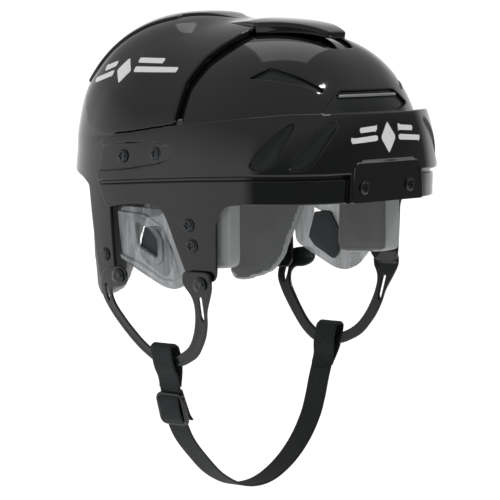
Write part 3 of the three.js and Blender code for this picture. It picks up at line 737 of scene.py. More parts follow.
def front_outer_offset(p):
    y = p[:, 1]
    dome = edge(-trough(p), TROUGH_OUT, DOME_OUT, TROUGH_EDGE)
    dome = np.minimum(dome, edge(-vent(p), DOME_OUT - VENT_DEPTH, DOME_OUT, VENT_EDGE))
    slit = edge(-slot_vent(p), DOME_OUT - SLOT_DEPTH, DOME_OUT, VENT_EDGE)
    slit = np.maximum(slit, edge(slot_bar(p), DOME_OUT - SLOT_DEPTH, DOME_OUT - BAR_DEPTH, BAR_EDGE))
    dome = np.minimum(dome, slit)
    band = BAND_OUT - RECESS_DEPTH * smoothstep(-28, 2, y) * smoothstep(-0.1, 1.1, screw_recess(p))
    for drop in drops:
        d = drop(p)
        bottom = BAND_OUT - DROP_DEPTH - DROP_DISH * smoothstep(0, 7, d)
        band = np.minimum(band, edge(-d, bottom, BAND_OUT, DROP_EDGE))
    brow = brow_offset(p)
    groove = brow - GROOVE_DEPTH
    lower = edge(under_groove(p), groove, brow + 0.5, GROOVE_EDGE)
    lower = lower - 0.5 * smoothstep(2, 14, under_groove(p))
    height = edge(over_band_bottom(p), groove, band, LEDGE_EDGE)
    height = np.where(over_band_bottom(p) > 0, height, lower)
    height = edge(plate(p), height, BAND_OUT, PLATE_EDGE)
    return np.where(under_band_top(p) > 0, edge(under_band_top(p), dome, height, BAND_EDGE), dome)


def inner_line(p):
    """Where the inner face steps from the dome out to the band."""
    return under_band_top(p) - BRIDGE * smoothstep(-20.5, -23.0, p[:, 1])


def front_inner_offset(p):
    dome = DOME_IN + (TROUGH_IN - DOME_IN) * smoothstep(-0.8, 0.8, trough_liner(p))
    inner = dome + (SIDE_IN - dome) * smoothstep(-0.7, 0.7, inner_line(p))
    brow = brow_offset(p) - BROW_WALL
    inner = inner + (brow - inner) * smoothstep(-3.6, -2.4, -over_band_bottom(p))
    return inner + (PLATE_IN - inner) * smoothstep(1.0, 2.6, plate(p)) * (p[:, 2] < PLATE_INNER_TOP)


def plate_shape(p, moved):
    """Cuts the front off flat inside the plate's outline."""
    d = plate(p)
    bevel = PLATE_BEVEL_DEPTH * (1 - smoothstep(0.0, PLATE_BEVEL, d))
    limit = np.where(d > 0, PLATE_Y - bevel, -1e9)
    moved = moved.copy()
    moved[:, 1] = np.maximum(moved[:, 1], limit)
    return moved


front_rim = rim_of(front_edge, SHELL_RIM)
front_outer = face_place(front_outer_offset, front_rim, True, plate_shape)
front_inner = face_place(front_inner_offset, front_rim, False)


def negative(field):
    return lambda p: -field(p)


def build_front_shell():
    cuts = [
        (under_band_top, edge_levels(BAND_EDGE)),
        (over_band_bottom, edge_levels(LEDGE_EDGE)),
        (under_groove, edge_levels(GROOVE_EDGE) + [6.0]),
        (inner_line, [-0.7, 0.0, 0.7]),
        (negative(trough), edge_levels(TROUGH_EDGE)),
        (negative(vent), edge_levels(VENT_EDGE)),
        (negative(slot_vent), edge_levels(VENT_EDGE)),
        (slot_bar, edge_levels(BAR_EDGE)),
        (screw_recess, [-0.1, 0.2, 0.5, 0.8, 1.1]),
        (plate, edge_levels(PLATE_EDGE) + [2.5, PLATE_BEVEL]),
    ]
    cuts += [(negative(drop), edge_levels(DROP_EDGE) + [-2.0, -4.0, -6.0]) for drop in drops]
    zones = [(lambda p, field=field: field(p) - WALL, 1) for field in (*drops, vent, slot_vent)]
    # the bar in the slot vent takes the lighter grey material, a painted reflection
    zones.append((lambda p: slot_bar(p) - 0.3, 2))
    shell = build_sheet("front_shell_gloss", FINE_GRID, front_edge, cuts, front_outer, front_inner, SHELL_RIM,
                        zones=zones)
    dress(shell, "gloss_black", GLOSS, RECESS, BAR_PAINTED_REFLECTION)
    stand_for(shell, "front", "front_shell")


# ------------------------------------------------------------------ rear shell
REAR_EDGE_Z = [46, 81, 99, 111, 119, REACH]
REAR_EDGE_Y = [-18, -18.5, -25, -34, -38, -38]
REAR_OUTLINE = [
    (-38, REACH), (-38, 119), (-34, 111), (-25, 99), (-18.5, 81), (-18, 50), (-30, 46), (-30, 17), (34, 15),
    (39.5, -6), (35.5, -60), (39, -65), (51, -65), (54.5, -60), (62, -20), (67, 7), (78, 12), (100, 16),
    (REACH, 16), (REACH, REACH),
]
RIDGE_OUTLINE = [(2, -4), (11, 8), (20, 20), (28, 33), (35, 35), (44, 52), (58, 76), (64, 84), (64, REACH)]
ADJUST_SCREWS = (("rear", 22.8, 29.1), ("front", -7.8, 31.6))
SLOT_BEHIND = 3.9      # an adjusting slot's reach behind its screw before the slide, and its other half sizes
SLOT_AHEAD = 3.4
SLOT_HALF = 2.9
RIDGE_SWELL = 2.6
RIDGE_FLOOR = 84
RIDGE_SLOPE = 0.07
LIP_WALL = 1.5
LIP_REACH = 3
LIP_LIFT = 1.0               # thickness of the lip, over its inner face
LIP_SIDE = -4.3              # the lip's inner face at the sides, and its change towards the tongue's tip
LIP_TONGUE_DROP = -2.9
LIP_TONGUE_RISE = 5.0
JOGGLE_GAP = 1.6             # between the band's top edge and the step in the rear shell
JOGGLE_SIDE = 0.9            # half the step's height at the sides, and how much softer it gets at the back
JOGGLE_BACK = 9.0

rear_side = side_field(REAR_OUTLINE, 3.0)
tongue = top_field(rounded(mirrored([(9.5, -86), (34, -37), (24, 4)]), 2.0))
ridge_top = top_field(rounded(mirrored(RIDGE_OUTLINE), 1.6))
adjust_slots = [
    side_field([(y - SLIDE - SLOT_BEHIND, z - SLOT_HALF), (y + SLOT_AHEAD, z - SLOT_HALF),
                (y + SLOT_AHEAD, z + SLOT_HALF), (y - SLIDE - SLOT_BEHIND, z + SLOT_HALF)], 0.0, SIDE_MASK)
    for _, y, z in ADJUST_SCREWS
]


def rear_domain(p):
    d = np.maximum(rear_side(p), tongue(p))
    for slot in adjust_slots:
        d = np.minimum(d, -slot(p))
    return d


def front_lip(p):
    """Distance behind the rear shell's free front edge."""
    side = (p[:, 1] - np.interp(p[:, 2], REAR_EDGE_Z, REAR_EDGE_Y)) * 0.88
    return np.maximum(side, tongue(p))


def ridge(p):
    return np.minimum(ridge_top(p), p[:, 2] - RIDGE_FLOOR + RIDGE_SLOPE * p[:, 1])


def over_joggle(p):
    """Distance above the step where the rear shell goes from over the dome to behind the band."""
    return p[:, 2] - line_height(BAND_TOP, p[:, 1]) - JOGGLE_GAP


def lip_height(p):
    ahead = np.maximum(0, -10 - p[:, 1]) / 76
    on_tongue = smoothstep(-34, -40, p[:, 1])
    return LIP_SIDE + on_tongue * (LIP_TONGUE_DROP + LIP_TONGUE_RISE * ahead ** 2.2)


def rear_outer_offset(p):
    y = p[:, 1]
    soft = JOGGLE_SIDE + JOGGLE_BACK * smoothstep(46, 74, y)
    top = SKIRT_OUT - SKIRT_OUT * smoothstep(-1, 1, over_joggle(p) / soft)
    top = top + edge(tongue(p), 0.0, TONGUE_OUT * smoothstep(-4, -32, y), TONGUE_EDGE)
    swelling = RIDGE_SWELL * smoothstep(-34, 0, ridge(p)) * smoothstep(-12, 24, y)
    crest = (RIDGE_OUT - RIDGE_SWELL) * smoothstep(-4, 26, y)
    top = top + swelling + edge(ridge(p), 0.0, crest, RIDGE_EDGE)
    lip = top + (lip_height(p) + LIP_LIFT - top) * smoothstep(1.0, 4.0, over_joggle(p))
    return edge(front_lip(p), lip, top, LIP_EDGE)


def rear_inner_offset(p):
    inner = SKIRT_IN + (REAR_IN - SKIRT_IN) * smoothstep(-1, 1, (over_joggle(p) - 1.5) / 1.2)
    inner = inner + (TONGUE_IN - inner) * smoothstep(-0.5, 1.5, tongue(p)) * smoothstep(-20, -36, p[:, 1])
    lip = inner + (lip_height(p) - inner) * smoothstep(1.0, 4.0, over_joggle(p))
    return edge(front_lip(p) - LIP_WALL, lip, inner, LIP_INNER_EDGE)


def rear_drop(p):
    """How far the rear shell's faces turn in near its edge, but not on the lip over the front shell."""
    lip_zone = (front_lip(p) < LIP_REACH) * smoothstep(0.5, 2.5, over_joggle(p))
    return rim_drop(rear_domain(p), SHELL_RIM) * (1 - lip_zone)


rear_outer = face_place(rear_outer_offset, rear_drop, True)
rear_inner = face_place(rear_inner_offset, rear_drop, False)


def build_rear_shell():
    cuts = [
        (front_lip, edge_levels(LIP_EDGE)),
        (lambda p: front_lip(p) - LIP_WALL, edge_levels(LIP_INNER_EDGE)),
        (over_joggle, [-0.9, 0.0, 0.9, 1.5]),
        (tongue, edge_levels(TONGUE_EDGE)),
        (ridge, edge_levels(RIDGE_EDGE)),
    ]
    shell = build_sheet("rear_shell_gloss", FINE_GRID, rear_domain, cuts, rear_outer, rear_inner, SHELL_RIM)
    dress(shell, "gloss_black", GLOSS)
    stand_for(shell, "rear", "rear_shell")


# ------------------------------------------------------------------ clear ear guards
GUARD_OUTLINE = [
    (-50, -8), (-50, -34), (-38, -50), (-30, -59), (-18, -64), (-7, -62.5), (14, -53), (31, -45),
    (36, -12), (30, -6),
]
GUARD_WINDOW = [(16, -17), (3, -22), (-4, -29), (-4, -42), (14, -34)]
GUARD_RIBS = [
    [(-31, -54), (-29, -57.5), (-18, -61.5), (-7, -60), (14, -50.5), (33, -43), (33, -40), (12, -46.5),
     (-7, -56), (-18, -57), (-27, -53)],
    [(35, -9.5), (8, -11), (-9, -19), (-19, -38), (-23, -52), (-20, -53), (-15, -38), (-6, -23), (9, -14.5),
     (35, -13)],
]
GUARD_RIM = 0.7
FRAME_RIB = 2.6        # half the width of the rib round the window


def left_half(field):
    return lambda p: np.minimum(field(p), p[:, 0] - 20)


def build_ear_guard(side, hand):
    outline = left_half(side_field(GUARD_OUTLINE, 5.0))
    window = side_field(GUARD_WINDOW, 2.5)
    lower_rib, upper_rib = (side_field(rib, 1.5) for rib in GUARD_RIBS)

    def domain(p):
        return np.minimum(outline(p), -window(p))

    def frame_rib(p):
        return FRAME_RIB - np.abs(window(p) + FRAME_RIB)

    raised = ((lower_rib, 2.4, 0.9), (upper_rib, 1.3, 0.8), (frame_rib, 1.5, 0.8))

    def outer(p):
        return np.maximum.reduce([GUARD_OUT + edge(rib(p), 0.0, rise, radius)
                                  for rib, rise, radius in raised])

    rim = rim_of(domain, GUARD_RIM)
    cuts = [(rib, edge_levels(radius)) for rib, _, radius in raised]
    guard = build_sheet(f"ear_guard_clear_{hand}", FINE_GRID, domain, cuts, face_place(outer, rim, True),
                        face_place(constant(GUARD_IN), rim, False), GUARD_RIM, mirror=side)
    dress(guard, "clear_plastic", CLEAR)
    stand_for(guard, "front", f"ear_guard_{hand}")


# ------------------------------------------------------------------ foam pads
TEMPLE_PAD = [(-70, 40), (-70, -44), (-66, -47), (-24, -50), (-18, -46), (-18, 40)]
TEMPLE_FACE = [(-69.5, 12), (-69.5, -46), (-55, -46), (-55, 12)]
REAR_SIDE_PAD = [(12, -4), (38, -61), (48, -70), (74, -78), (83, -74), (88, -30), (86, 30), (18, 34)]
EAR_PAD = [(12, -20), (-4, -19), (-15, -36), (-14, -50), (-8, -57), (12, -47), (18, -40)]
CROWN_PAD = [(22, -66), (50, -60), (60, -14), (30, -12)]
PAD_RIM = 1.6
CLOTH_FRAMES = 12
# heights of each pad's outer and inner faces over the reference surface
TEMPLE_LAYER = (-11.2, -19.4)
TEMPLE_FACE_RISE = 7.2
FOREHEAD_LAYER = (-9.6, -19.4)
OCCIPITAL_LAYER = (-7.1, -17.4)
REAR_CROWN_LAYER = (-5.6, -15.4)
REAR_SIDE_LAYER = (-11.8, -19.4)
FRONT_CROWN_LAYER = (-12.6, -21.4)
EAR_LAYER = (GUARD_IN - 0.4, -10.1)
# the cloth's pressure with the most that a point may move, and a pressed line's depth with its width
GREY_SWELL, GREY_LINE = (1.2, 0.7), (0.5, 1.2)
EAR_SWELL, EAR_LINE = (0.6, 0.1), (0.35, 0.9)
# a face that looks less far in or out than this is a cut side
TEMPLE_CUT = 0.55
SIMPLE_CUT = 0.86


def swell(piece, voxel, pressure, cap):
    """Foam under its cover: remeshed, inflated a little as cloth, and smoothed."""
    remesh = piece.modifiers.new("remesh", "REMESH")
    remesh.mode = "VOXEL"
    remesh.voxel_size = voxel * MM
    apply_modifiers(piece)
    rest = np.array([v.co for v in piece.data.vertices])
    cloth = piece.modifiers.new("cloth", "CLOTH")
    cloth.settings.use_pressure = True
    cloth.settings.uniform_pressure_force = pressure
    cloth.settings.effector_weights.gravity = 0
    cloth.settings.tension_stiffness = 40
    cloth.settings.compression_stiffness = 40
    cloth.settings.bending_stiffness = 6
    cloth.settings.quality = 4
    for number in range(1, CLOTH_FRAMES + 1):
        bpy.context.scene.frame_set(number)
    apply_modifiers(piece)
    moved = np.array([v.co for v in piece.data.vertices]) - rest
    length = np.linalg.norm(moved, axis=1)
    share = np.minimum(1, cap * MM / np.maximum(length, 1e-9))
    piece.data.vertices.foreach_set("co", (rest + moved * share[:, None]).ravel())
    bpy.context.scene.frame_set(1)
    smooth = piece.modifiers.new("smooth", "SMOOTH")
    smooth.factor = 0.5
    smooth.iterations = 2
    subdivide = piece.modifiers.new("subdivide", "SUBSURF")
    subdivide.levels = 1
    subdivide.render_levels = 1
    apply_modifiers(piece)
    piece.data.shade_smooth()


def apply_modifiers(piece):
    graph = bpy.context.evaluated_depsgraph_get()
    graph.update()
    mesh = bpy.data.meshes.new_from_object(piece.evaluated_get(graph))
    piece.modifiers.clear()
    piece.data = mesh


def pad_body(name, domain, outer, inner, side=1, cuts=()):
    rim = rim_of(domain, PAD_RIM)
    return build_sheet(name, COARSE_GRID, domain, cuts, face_place(outer, rim, True),
                       face_place(inner, rim, False), PAD_RIM, mirror=side)


def facing_out(points, normals, side):
    """The points as on the left side, and how far each normal looks out of the helmet, from -1 to 1."""
    flip = np.array([side, 1, 1])
    probe = points * flip
    outward = surface_normal(on_surface(probe / np.linalg.norm(probe, axis=1)[:, None])) * flip
    return probe, (normals * outward).sum(1)


def sewn_edge(piece, field, inset, depth, width, side):
    """A pressed line round a pad's inner and outer faces, inset from its outline."""
    mesh = piece.data
    co = np.array([v.co for v in mesh.vertices]) / MM
    normal = np.array([v.normal for v in mesh.vertices])
    probe, facing = facing_out(co, normal, side)
    amount = depth * np.exp(-((field(probe) - inset) / width) ** 2) * smoothstep(0.6, 0.9, np.abs(facing))
    co -= normal * amount[:, None]
    mesh.vertices.foreach_set("co", (co * MM).ravel())
    mesh.update()


def grey_pad(pad, node, body, domain, side, voxel, inset, is_cut):
    """Swells a pad's body, presses its sewn line and shows paler cut foam where is_cut says so."""
    swell(pad, voxel, *GREY_SWELL)
    sewn_edge(pad, domain, inset, *GREY_LINE, side)
    dress(pad, "grey_foam", GREY_FOAM, PALE_FOAM)
    centres = np.array([q.center for q in pad.data.polygons]) / MM
    normals = np.array([q.normal for q in pad.data.polygons])
    cut = is_cut(*facing_out(centres, normals, side))
    pad.data.polygons.foreach_set("material_index", cut.astype(np.int32))
    stand_for(pad, body, node)


def build_temple_pad(side, hand):
    main = left_half(side_field(TEMPLE_PAD, 5.0))
    face = side_field(TEMPLE_FACE, 2.0)

    def outer(p):
        return TEMPLE_LAYER[0] + TEMPLE_FACE_RISE * smoothstep(-0.5, 0.5, face(p))

    def is_cut(probe, facing):
        return (np.abs(facing) < TEMPLE_CUT) | ((face(probe) > -1.0) & (facing > 0))

    pad = pad_body(f"temple_pad_foam_{hand}", main, outer, constant(TEMPLE_LAYER[1]), side,
                   [(face, [-0.5, 0.0, 0.5])])
    grey_pad(pad, f"temple_pad_{hand}", "front", main, side, 2.6, 5.5, is_cut)


def simple_pad(name, node, body, domain, layer, side=1):
    pad = pad_body(name, domain, constant(layer[0]), constant(layer[1]), side)
    grey_pad(pad, node, body, domain, side, 2.8, 5.0, lambda _, facing: np.abs(facing) < SIMPLE_CUT)


def build_pads():
    forehead = front_field(rounded(mirrored([(58, 8), (58, 40)]), 6.0), -60.0)
    simple_pad("forehead_pad_foam", "forehead_pad", "front", forehead, FOREHEAD_LAYER)
    outline = rounded(mirrored([(36, -26), (40, 26)]), 6.0)

    def back(p):
        return np.minimum(outline_distance(outline, p[:, 0], p[:, 2]), p[:, 1] - 60)

    simple_pad("occipital_pad_foam", "occipital_pad", "rear", back, OCCIPITAL_LAYER)
    crown = top_field(rounded(mirrored([(44, 24), (40, 74)]), 8.0), 50.0)
    simple_pad("crown_pad_foam_rear", "crown_pad_rear", "rear", crown, REAR_CROWN_LAYER)
    rear_side_pad = left_half(side_field(REAR_SIDE_PAD, 7.0))
    front_crown = top_field(rounded(CROWN_PAD, 6.0), 50.0)
    ear = left_half(side_field(EAR_PAD, 2.0))
    for side, hand in HANDS:
        build_temple_pad(side, hand)
        simple_pad(f"rear_side_pad_foam_{hand}", f"rear_side_pad_{hand}", "rear", rear_side_pad,
                   REAR_SIDE_LAYER, side)
        simple_pad(f"crown_pad_foam_front_{hand}", f"crown_pad_front_{hand}", "front",
                   lambda p: np.minimum(front_crown(p), p[:, 0] - 5), FRONT_CROWN_LAYER, side)
        pad = pad_body(f"ear_pad_foam_{hand}", ear, constant(EAR_LAYER[0]), constant(EAR_LAYER[1]), side)
        swell(pad, 1.3, *EAR_SWELL)
        sewn_edge(pad, ear, 3.0, *EAR_LINE, side)
        dress(pad, "charcoal_foam", CHARCOAL)
        stand_for(pad, "front", f"ear_pad_{hand}")


# ------------------------------------------------------------------ ear loops
LOOP_OUTLINE = [
    (-59, -48), (-60, -58), (-56, -67), (-51, -77), (-50, -85), (-46, -96), (-36, -110), (-20, -118),
    (-2, -120), (8, -117), (20, -109), (31, -98), (42, -85), (49, -74), (50, -66), (47, -56), (40, -50),
    (24, -48), (19, -53), (20, -60), (28, -64), (36, -64), (39, -69), (37, -77), (27, -90), (16, -102),
    (6, -109), (-3, -112), (-18, -110), (-30, -103), (-37, -92), (-41, -80), (-42, -70), (-40, -64),
    (-35, -58), (-35, -48),
]
LOOP_SLOTS = [
    [(-49.5, -66), (-47, -66), (-46, -80), (-47.5, -84), (-48.5, -80)],
    [(41.5, -62), (43.5, -62), (44.2, -70), (42.4, -76), (41.5, -70)],
]
LOOP_RIM = 1.1
LOOP_GROOVE = 0.5
SNAPS = (("front", -51, -57), ("rear", 27, -55.5))


def loop_inner(y, z):
    """How far out a loop's inner face lies: beside the shells, and leaning in below them."""
    width = half_width_at(y, np.maximum(z, LOOP_LEAN_START))
    clear = BROW_OUT + (SKIRT_OUT + 1 - BROW_OUT) * smoothstep(-20, 18, y) + LOOP_CLEARANCE
    return width + clear - LOOP_LEAN * np.maximum(0, LOOP_LEAN_START - z)


def flat_directions(p):
    """Two directions along the plane that an ear loop's grid lies in."""
    first = np.tile([0.0, 1.0, 0.0], (len(p), 1))
    return first, np.tile([0.0, 0.0, 1.0], (len(p), 1))


def flat_grid(y0, y1, z0, z1, step):
    y, z = np.meshgrid(np.arange(y0, y1 + step, step), np.arange(z0, z1 + step, step), indexing="ij")
    return np.stack([np.zeros(y.size), y.ravel(), z.ravel()], 1), grid_triangles(*y.shape)


def build_ear_loop(side, hand):
    outline = rounded(LOOP_OUTLINE, 6.0)
    slots = [rounded(slot, 1.0) for slot in LOOP_SLOTS]

    def domain(p):
        d = outline_distance(outline, p[:, 1], p[:, 2])
        for slot in slots:
            d = np.minimum(d, -outline_distance(slot, p[:, 1], p[:, 2]))
        return d

    def face(out):
        def place(p):
            d = domain(p)
            drop = rim_drop(d, LOOP_RIM)
            x = loop_inner(p[:, 1], p[:, 2])
            groove = LOOP_GROOVE * smoothstep(2.2, 3.2, d) * smoothstep(-62, -70, p[:, 2])
            x = x + (LOOP_THICKNESS - drop - groove if out else drop)
            return np.stack([x, p[:, 1], p[:, 2]], 1)
        return place

    loop = build_sheet(f"ear_loop_plastic_{hand}", flat_grid(-64, 54, -124, -44, 1.7), domain,
                       [(domain, [2.2, 2.7, 3.2])], face(True), face(False), LOOP_RIM, mirror=side,
                       directions=flat_directions)
    dress(loop, "black_plastic", PLASTIC)
    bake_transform(loop)
    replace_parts(loop, f"ear_loop_{hand}")


# ------------------------------------------------------------------ turned parts
def axis_frame(origin, normal):
    """Two directions across an axis, with the axis."""
    normal = np.asarray(normal, float)
    first = np.cross([0.0, 0.0, 1.0], normal)
    first /= np.linalg.norm(first)
    return np.asarray(origin, float), first, np.cross(normal, first), normal


def turned(name, place, profile, segments=40, recess=None):
    """A closed turned body: profile is [radius, height] from the axis at the bottom to the axis at the top.
    recess(x, y, height) gives a new height."""
    origin, first, second, normal = place
    rows = []
    for radius, height in profile:
        if radius == 0:
            rows.append([origin + normal * (recess(0, 0, height) if recess else height)])
            continue
        row = []
        for k in range(segments):
            a = 2 * math.pi * k / segments
            x, y = radius * math.cos(a), radius * math.sin(a)
            h = recess(x, y, height) if recess else height
            row.append(origin + first * x + second * y + normal * h)
        rows.append(row)
    start, vertices = [], []
    for row in rows:
        start.append(len(vertices))
        vertices.extend(row)
    faces = []
    for i in range(len(rows) - 1):
        a, b = start[i], start[i + 1]
        one, two = len(rows[i]) == 1, len(rows[i + 1]) == 1
        for k in range(segments):
            n = (k + 1) % segments
            if one:
                faces.append((a, b + n, b + k))
            elif two:
                faces.append((a + k, a + n, b))
            else:
                faces.append((a + k, a + n, b + n, b + k))
    piece = add_mesh(name, vertices, faces)
    piece.data.set_sharp_from_angle(angle=math.radians(32))
    return piece


def tube_faces(rings, count, closed=False, base=0):
    """Quads between rings of count points each; closed joins the last ring to the first."""
    faces = []
    for i in range(rings if closed else rings - 1):
        a, b = base + i * count, base + (i + 1) % rings * count
        for k in range(count):
            n = (k + 1) % count
            faces.append((a + k, a + n, b + n, b + k))
    return faces


SCREW_RADIUS = 4.9
SCREW_SHANK = 2.1
SCREW_HEAD = 2.0
SCREW_ROUNDING = 0.9
CROSS_ARM = 0.62       # half the width of an arm of the cross recess, its reach as a share, and its depth
CROSS_REACH = 0.52
CROSS_DEPTH = 1.1
NUT_RADIUS, NUT_BORE, NUT_HEIGHT = 5.6, 2.45, 1.7
NUT_WAVES, NUT_WAVE_DEPTH = 8, 0.045
SNAP_PROFILE = [
    (0, 0), (4.6, 0), (5.3, 0.35), (5.45, 0.8), (5.2, 1.3), (4.3, 1.75), (3.9, 2.1), (3.5, 2.3), (2.4, 2.42),
    (1.6, 2.35), (1.2, 2.1), (0, 2.05),
]
TAB_SCREWS = (("upper", -38.8, -16.5), ("lower", -41.6, -30.6))
TAIL_SCREW = (46, -41.8)
FRONT_SCREW = (26, 9.3)


def cross_recess(x, y, h):
    """The height of a screw's head, with a cross pressed into its top."""
    arm, reach = sorted((abs(x), abs(y)))
    span = SCREW_RADIUS * CROSS_REACH
    if h < 0.8 or arm >= CROSS_ARM or reach >= span:
        return h
    return h - CROSS_DEPTH * (1 - (reach / span) ** 3) - 0.15


def build_screw(name, node, body, place, seat, tip):
    """A button-head screw on a thin washer; seat and tip are heights along its axis."""
    profile = [
        (0, tip), (2.0, tip), (SCREW_SHANK, tip + 0.3), (SCREW_SHANK, seat), (SCREW_RADIUS, seat),
        (SCREW_RADIUS, seat + 0.45), (SCREW_RADIUS * 0.90, seat + 0.62), (SCREW_RADIUS * 0.88, seat + 0.5),
    ]
    for k in range(7):
        t = k / 6 * math.pi / 2
        profile.append((SCREW_RADIUS * 0.86 - SCREW_ROUNDING * (1 - math.cos(t)),
                        seat + 0.6 + SCREW_ROUNDING * math.sin(t)))
    for share in (0.70, 0.58, 0.50, 0.44, 0.36, 0.28, 0.20, 0.13, 0.06):
        profile.append((SCREW_RADIUS * share, seat + SCREW_HEAD - 0.5 * share * share))
    profile.append((0, seat + SCREW_HEAD))
    screw = turned(name, place, profile, 48, cross_recess)
    dress(screw, "dark_steel", DARK_STEEL)
    stand_for(screw, body, node)


def build_nut(name, node, body, place, top, count=48):
    """A thin nut with a waved rim; top is the height of its outer face."""
    bottom = top - NUT_HEIGHT
    profile = [
        (NUT_BORE, bottom + 0.2), (NUT_BORE + 0.25, bottom),
        (NUT_RADIUS - 0.7, bottom), (NUT_RADIUS, bottom + 0.5),
        (NUT_RADIUS, top - 0.35), (NUT_RADIUS - 0.3, top),
        (NUT_BORE + 0.2, top), (NUT_BORE, top - 0.2),
    ]
    origin, first, second, normal = place
    vertices = []
    for radius, height in profile:
        for k in range(count):
            a = 2 * math.pi * k / count
            wave = 1.0
            if radius > NUT_RADIUS - 1.0:
                wave = 1 - NUT_WAVE_DEPTH * (1 + math.cos(a * NUT_WAVES)) / 2
            vertices.append(origin + first * radius * wave * math.cos(a)
                            + second * radius * wave * math.sin(a) + normal * height)
    nut = add_mesh(name, vertices, tube_faces(len(profile), count, closed=True))
    nut.data.set_sharp_from_angle(angle=math.radians(35))
    dress(nut, "plain_steel", PLAIN_STEEL)
    stand_for(nut, body, node)


def side_place(side, y, z):
    """The axis of a part that stands on the reference surface's side."""
    p = np.array([[float(half_width_at(y, z)[0]), y, z]])
    flip = np.array([side, 1, 1])
    return axis_frame(p[0] * flip, surface_normal(p)[0] * flip)


def build_fastener(kind, ending, body, place, seat, tip, nut_top):
    build_screw(f"{kind}_screw_head_{ending}", f"{kind}_screw_{ending}", body, place, seat, tip)
    build_nut(f"{kind}_nut_ring_{ending}", f"{kind}_nut_{ending}", body, place, nut_top)


def build_hardware():
    for side, hand in HANDS:
        x, z = FRONT_SCREW
        build_fastener("front", hand, "front", axis_frame((side * x, PLATE_Y, z), (0, -1, 0)), 0.3, -8, -5.8)
        for level, y, z in TAB_SCREWS:
            build_fastener("tab", f"{level}_{hand}", "front", side_place(side, y, z),
                           BROW_OUT + 0.3, -9.2, GUARD_IN - 0.3)
        for level, y, z in ADJUST_SCREWS:
            build_fastener("adjust", f"{level}_{hand}", "front", side_place(side, y, z),
                           BAND_OUT - 1.1, -7, SKIRT_IN - 0.6)
        build_fastener("tail", hand, "rear", side_place(side, *TAIL_SCREW),
                       SKIRT_OUT + 0.3, -7.3, SKIRT_IN - 0.8)
        for end, y, z in SNAPS:
            inner_face = float(loop_inner(np.array([float(y)]), np.array([float(z)]))[0])
            base = inner_face + LOOP_THICKNESS + 0.3
            snap = turned(f"snap_cap_{hand}_{end}",
                          axis_frame((side * base, y, z), (side, 0, 0)), SNAP_PROFILE)
            dress(snap, "black_plastic", PLASTIC)
            stand_for(snap, end, f"loop_snap_{hand}_{end}")


# ------------------------------------------------------------------ webbing
STRAP_LINE = [
    (-88.6, -124), (-88.4, -131), (-87.2, -137), (-85.3, -143), (-83.4, -149), (-81.5, -155),
    (-79.6, -161), (-72, -173), (-58, -187), (-41, -201),
    (-20, -211), (0, -214), (20, -211), (41, -201), (58, -187), (70, -171), (76, -157), (80, -144),
    (84, -133), (88, -124),
]


RIB = 1.9            # one woven rib along the webbing
RIB_RISE = 0.13
RIB_BOW = 0.35       # how far a rib bows along the webbing, in ribs
SELVEDGE = 0.9       # where the webbing's edge begins, as a share of its half width
SELVEDGE_RISE = 0.10
WEB_STEP = 0.42


def curve_through(points):
    """Evenly spaced points on a smooth curve through the given ones, with its directions."""
    points = np.array(points, float)
    padded = np.vstack([2 * points[0] - points[1], points, 2 * points[-1] - points[-2]])
    dense = []
    for i in range(1, len(padded) - 2):
        p0, p1, p2, p3 = padded[i - 1:i + 3]
        for t in np.linspace(0, 1, 24, endpoint=False):
            dense.append(0.5 * (2 * p1 + (p2 - p0) * t + (2 * p0 - 5 * p1 + 4 * p2 - p3) * t ** 2
                                + (3 * p1 - p0 - 3 * p2 + p3) * t ** 3))
    dense.append(padded[-2])
    dense = np.array(dense)
    length = np.concatenate([[0], np.cumsum(np.linalg.norm(np.diff(dense, axis=0), axis=1))])
    count = max(2, int(round(length[-1] / WEB_STEP)))
    at = np.linspace(0, length[-1], count + 1)
    line = np.stack([np.interp(at, length, dense[:, k]) for k in range(dense.shape[1])], 1)
    way = np.gradient(line, axis=0)
    return line, way / np.linalg.norm(way, axis=1)[:, None]


def web(name, points, width=STRAP_WIDTH, thick=STRAP_THICKNESS):
    """Flat webbing through points in the X-Z plane, with woven ribs, firmer edges and rounded selvedges."""
    line, way = curve_through(points)
    across = np.concatenate([[-1, -0.985, -0.95], np.linspace(-0.9, 0.9, 13), [0.95, 0.985, 1]])
    profile = [(a, 1) for a in across] + [(a, -1) for a in across[::-1]]
    count = len(line)
    step = np.concatenate([[0], np.cumsum(np.linalg.norm(np.diff(line, axis=0), axis=1))])
    normal = np.stack([-way[:, 1], way[:, 0]], 1)
    vertices = []
    for i in range(count):
        for a, face in profile:
            past = abs(a) - SELVEDGE
            selvedge = math.sqrt(max(0.0, 1 - max(0, past / 0.1) ** 2))
            edge_rise = SELVEDGE_RISE * math.exp(-(past / 0.05) ** 2)
            phase = 2 * math.pi * (step[i] / RIB + RIB_BOW * abs(a))
            rib = RIB_RISE * math.cos(phase) * (1 - abs(a) ** 8)
            half = (thick / 2 - 0.12) * selvedge + (rib + edge_rise) * selvedge
            offset = face * max(half, 0.05)
            vertices.append((line[i, 0] + normal[i, 0] * offset, STRAP_Y + a * width / 2,
                             line[i, 1] + normal[i, 1] * offset))
    n = len(profile)
    faces = tube_faces(count, n)
    half = len(across)
    for i, turn in ((0, 1), (count - 1, -1)):
        for k in range(half - 1):
            quad = (i * n + k, i * n + n - 1 - k, i * n + n - 2 - k, i * n + k + 1)
            faces.append(quad[::turn])
    piece = add_mesh(name, vertices, faces)
    dress(piece, "webbing", WEBBING)
    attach(piece, "chin")
    return piece


def loop_centre(z):
    """The middle of an ear loop's thickness where the strap hangs on it."""
    return float(loop_inner(np.array([STRAP_Y]), np.array([float(z)]))[0]) + LOOP_THICKNESS / 2


EYE_TOP = -107.6
EYE_HALF = 4.8
EYE_INSIDE = [(-0.95, -133), (-1.0, -131), (-1.8, -126), (-3.8, -120), (-4.8, -113)]     # [offset, z]
EYE_OUTSIDE = [(4.8, -113), (4.4, -120), (2.6, -126), (1.2, -131), (0.95, -134)]


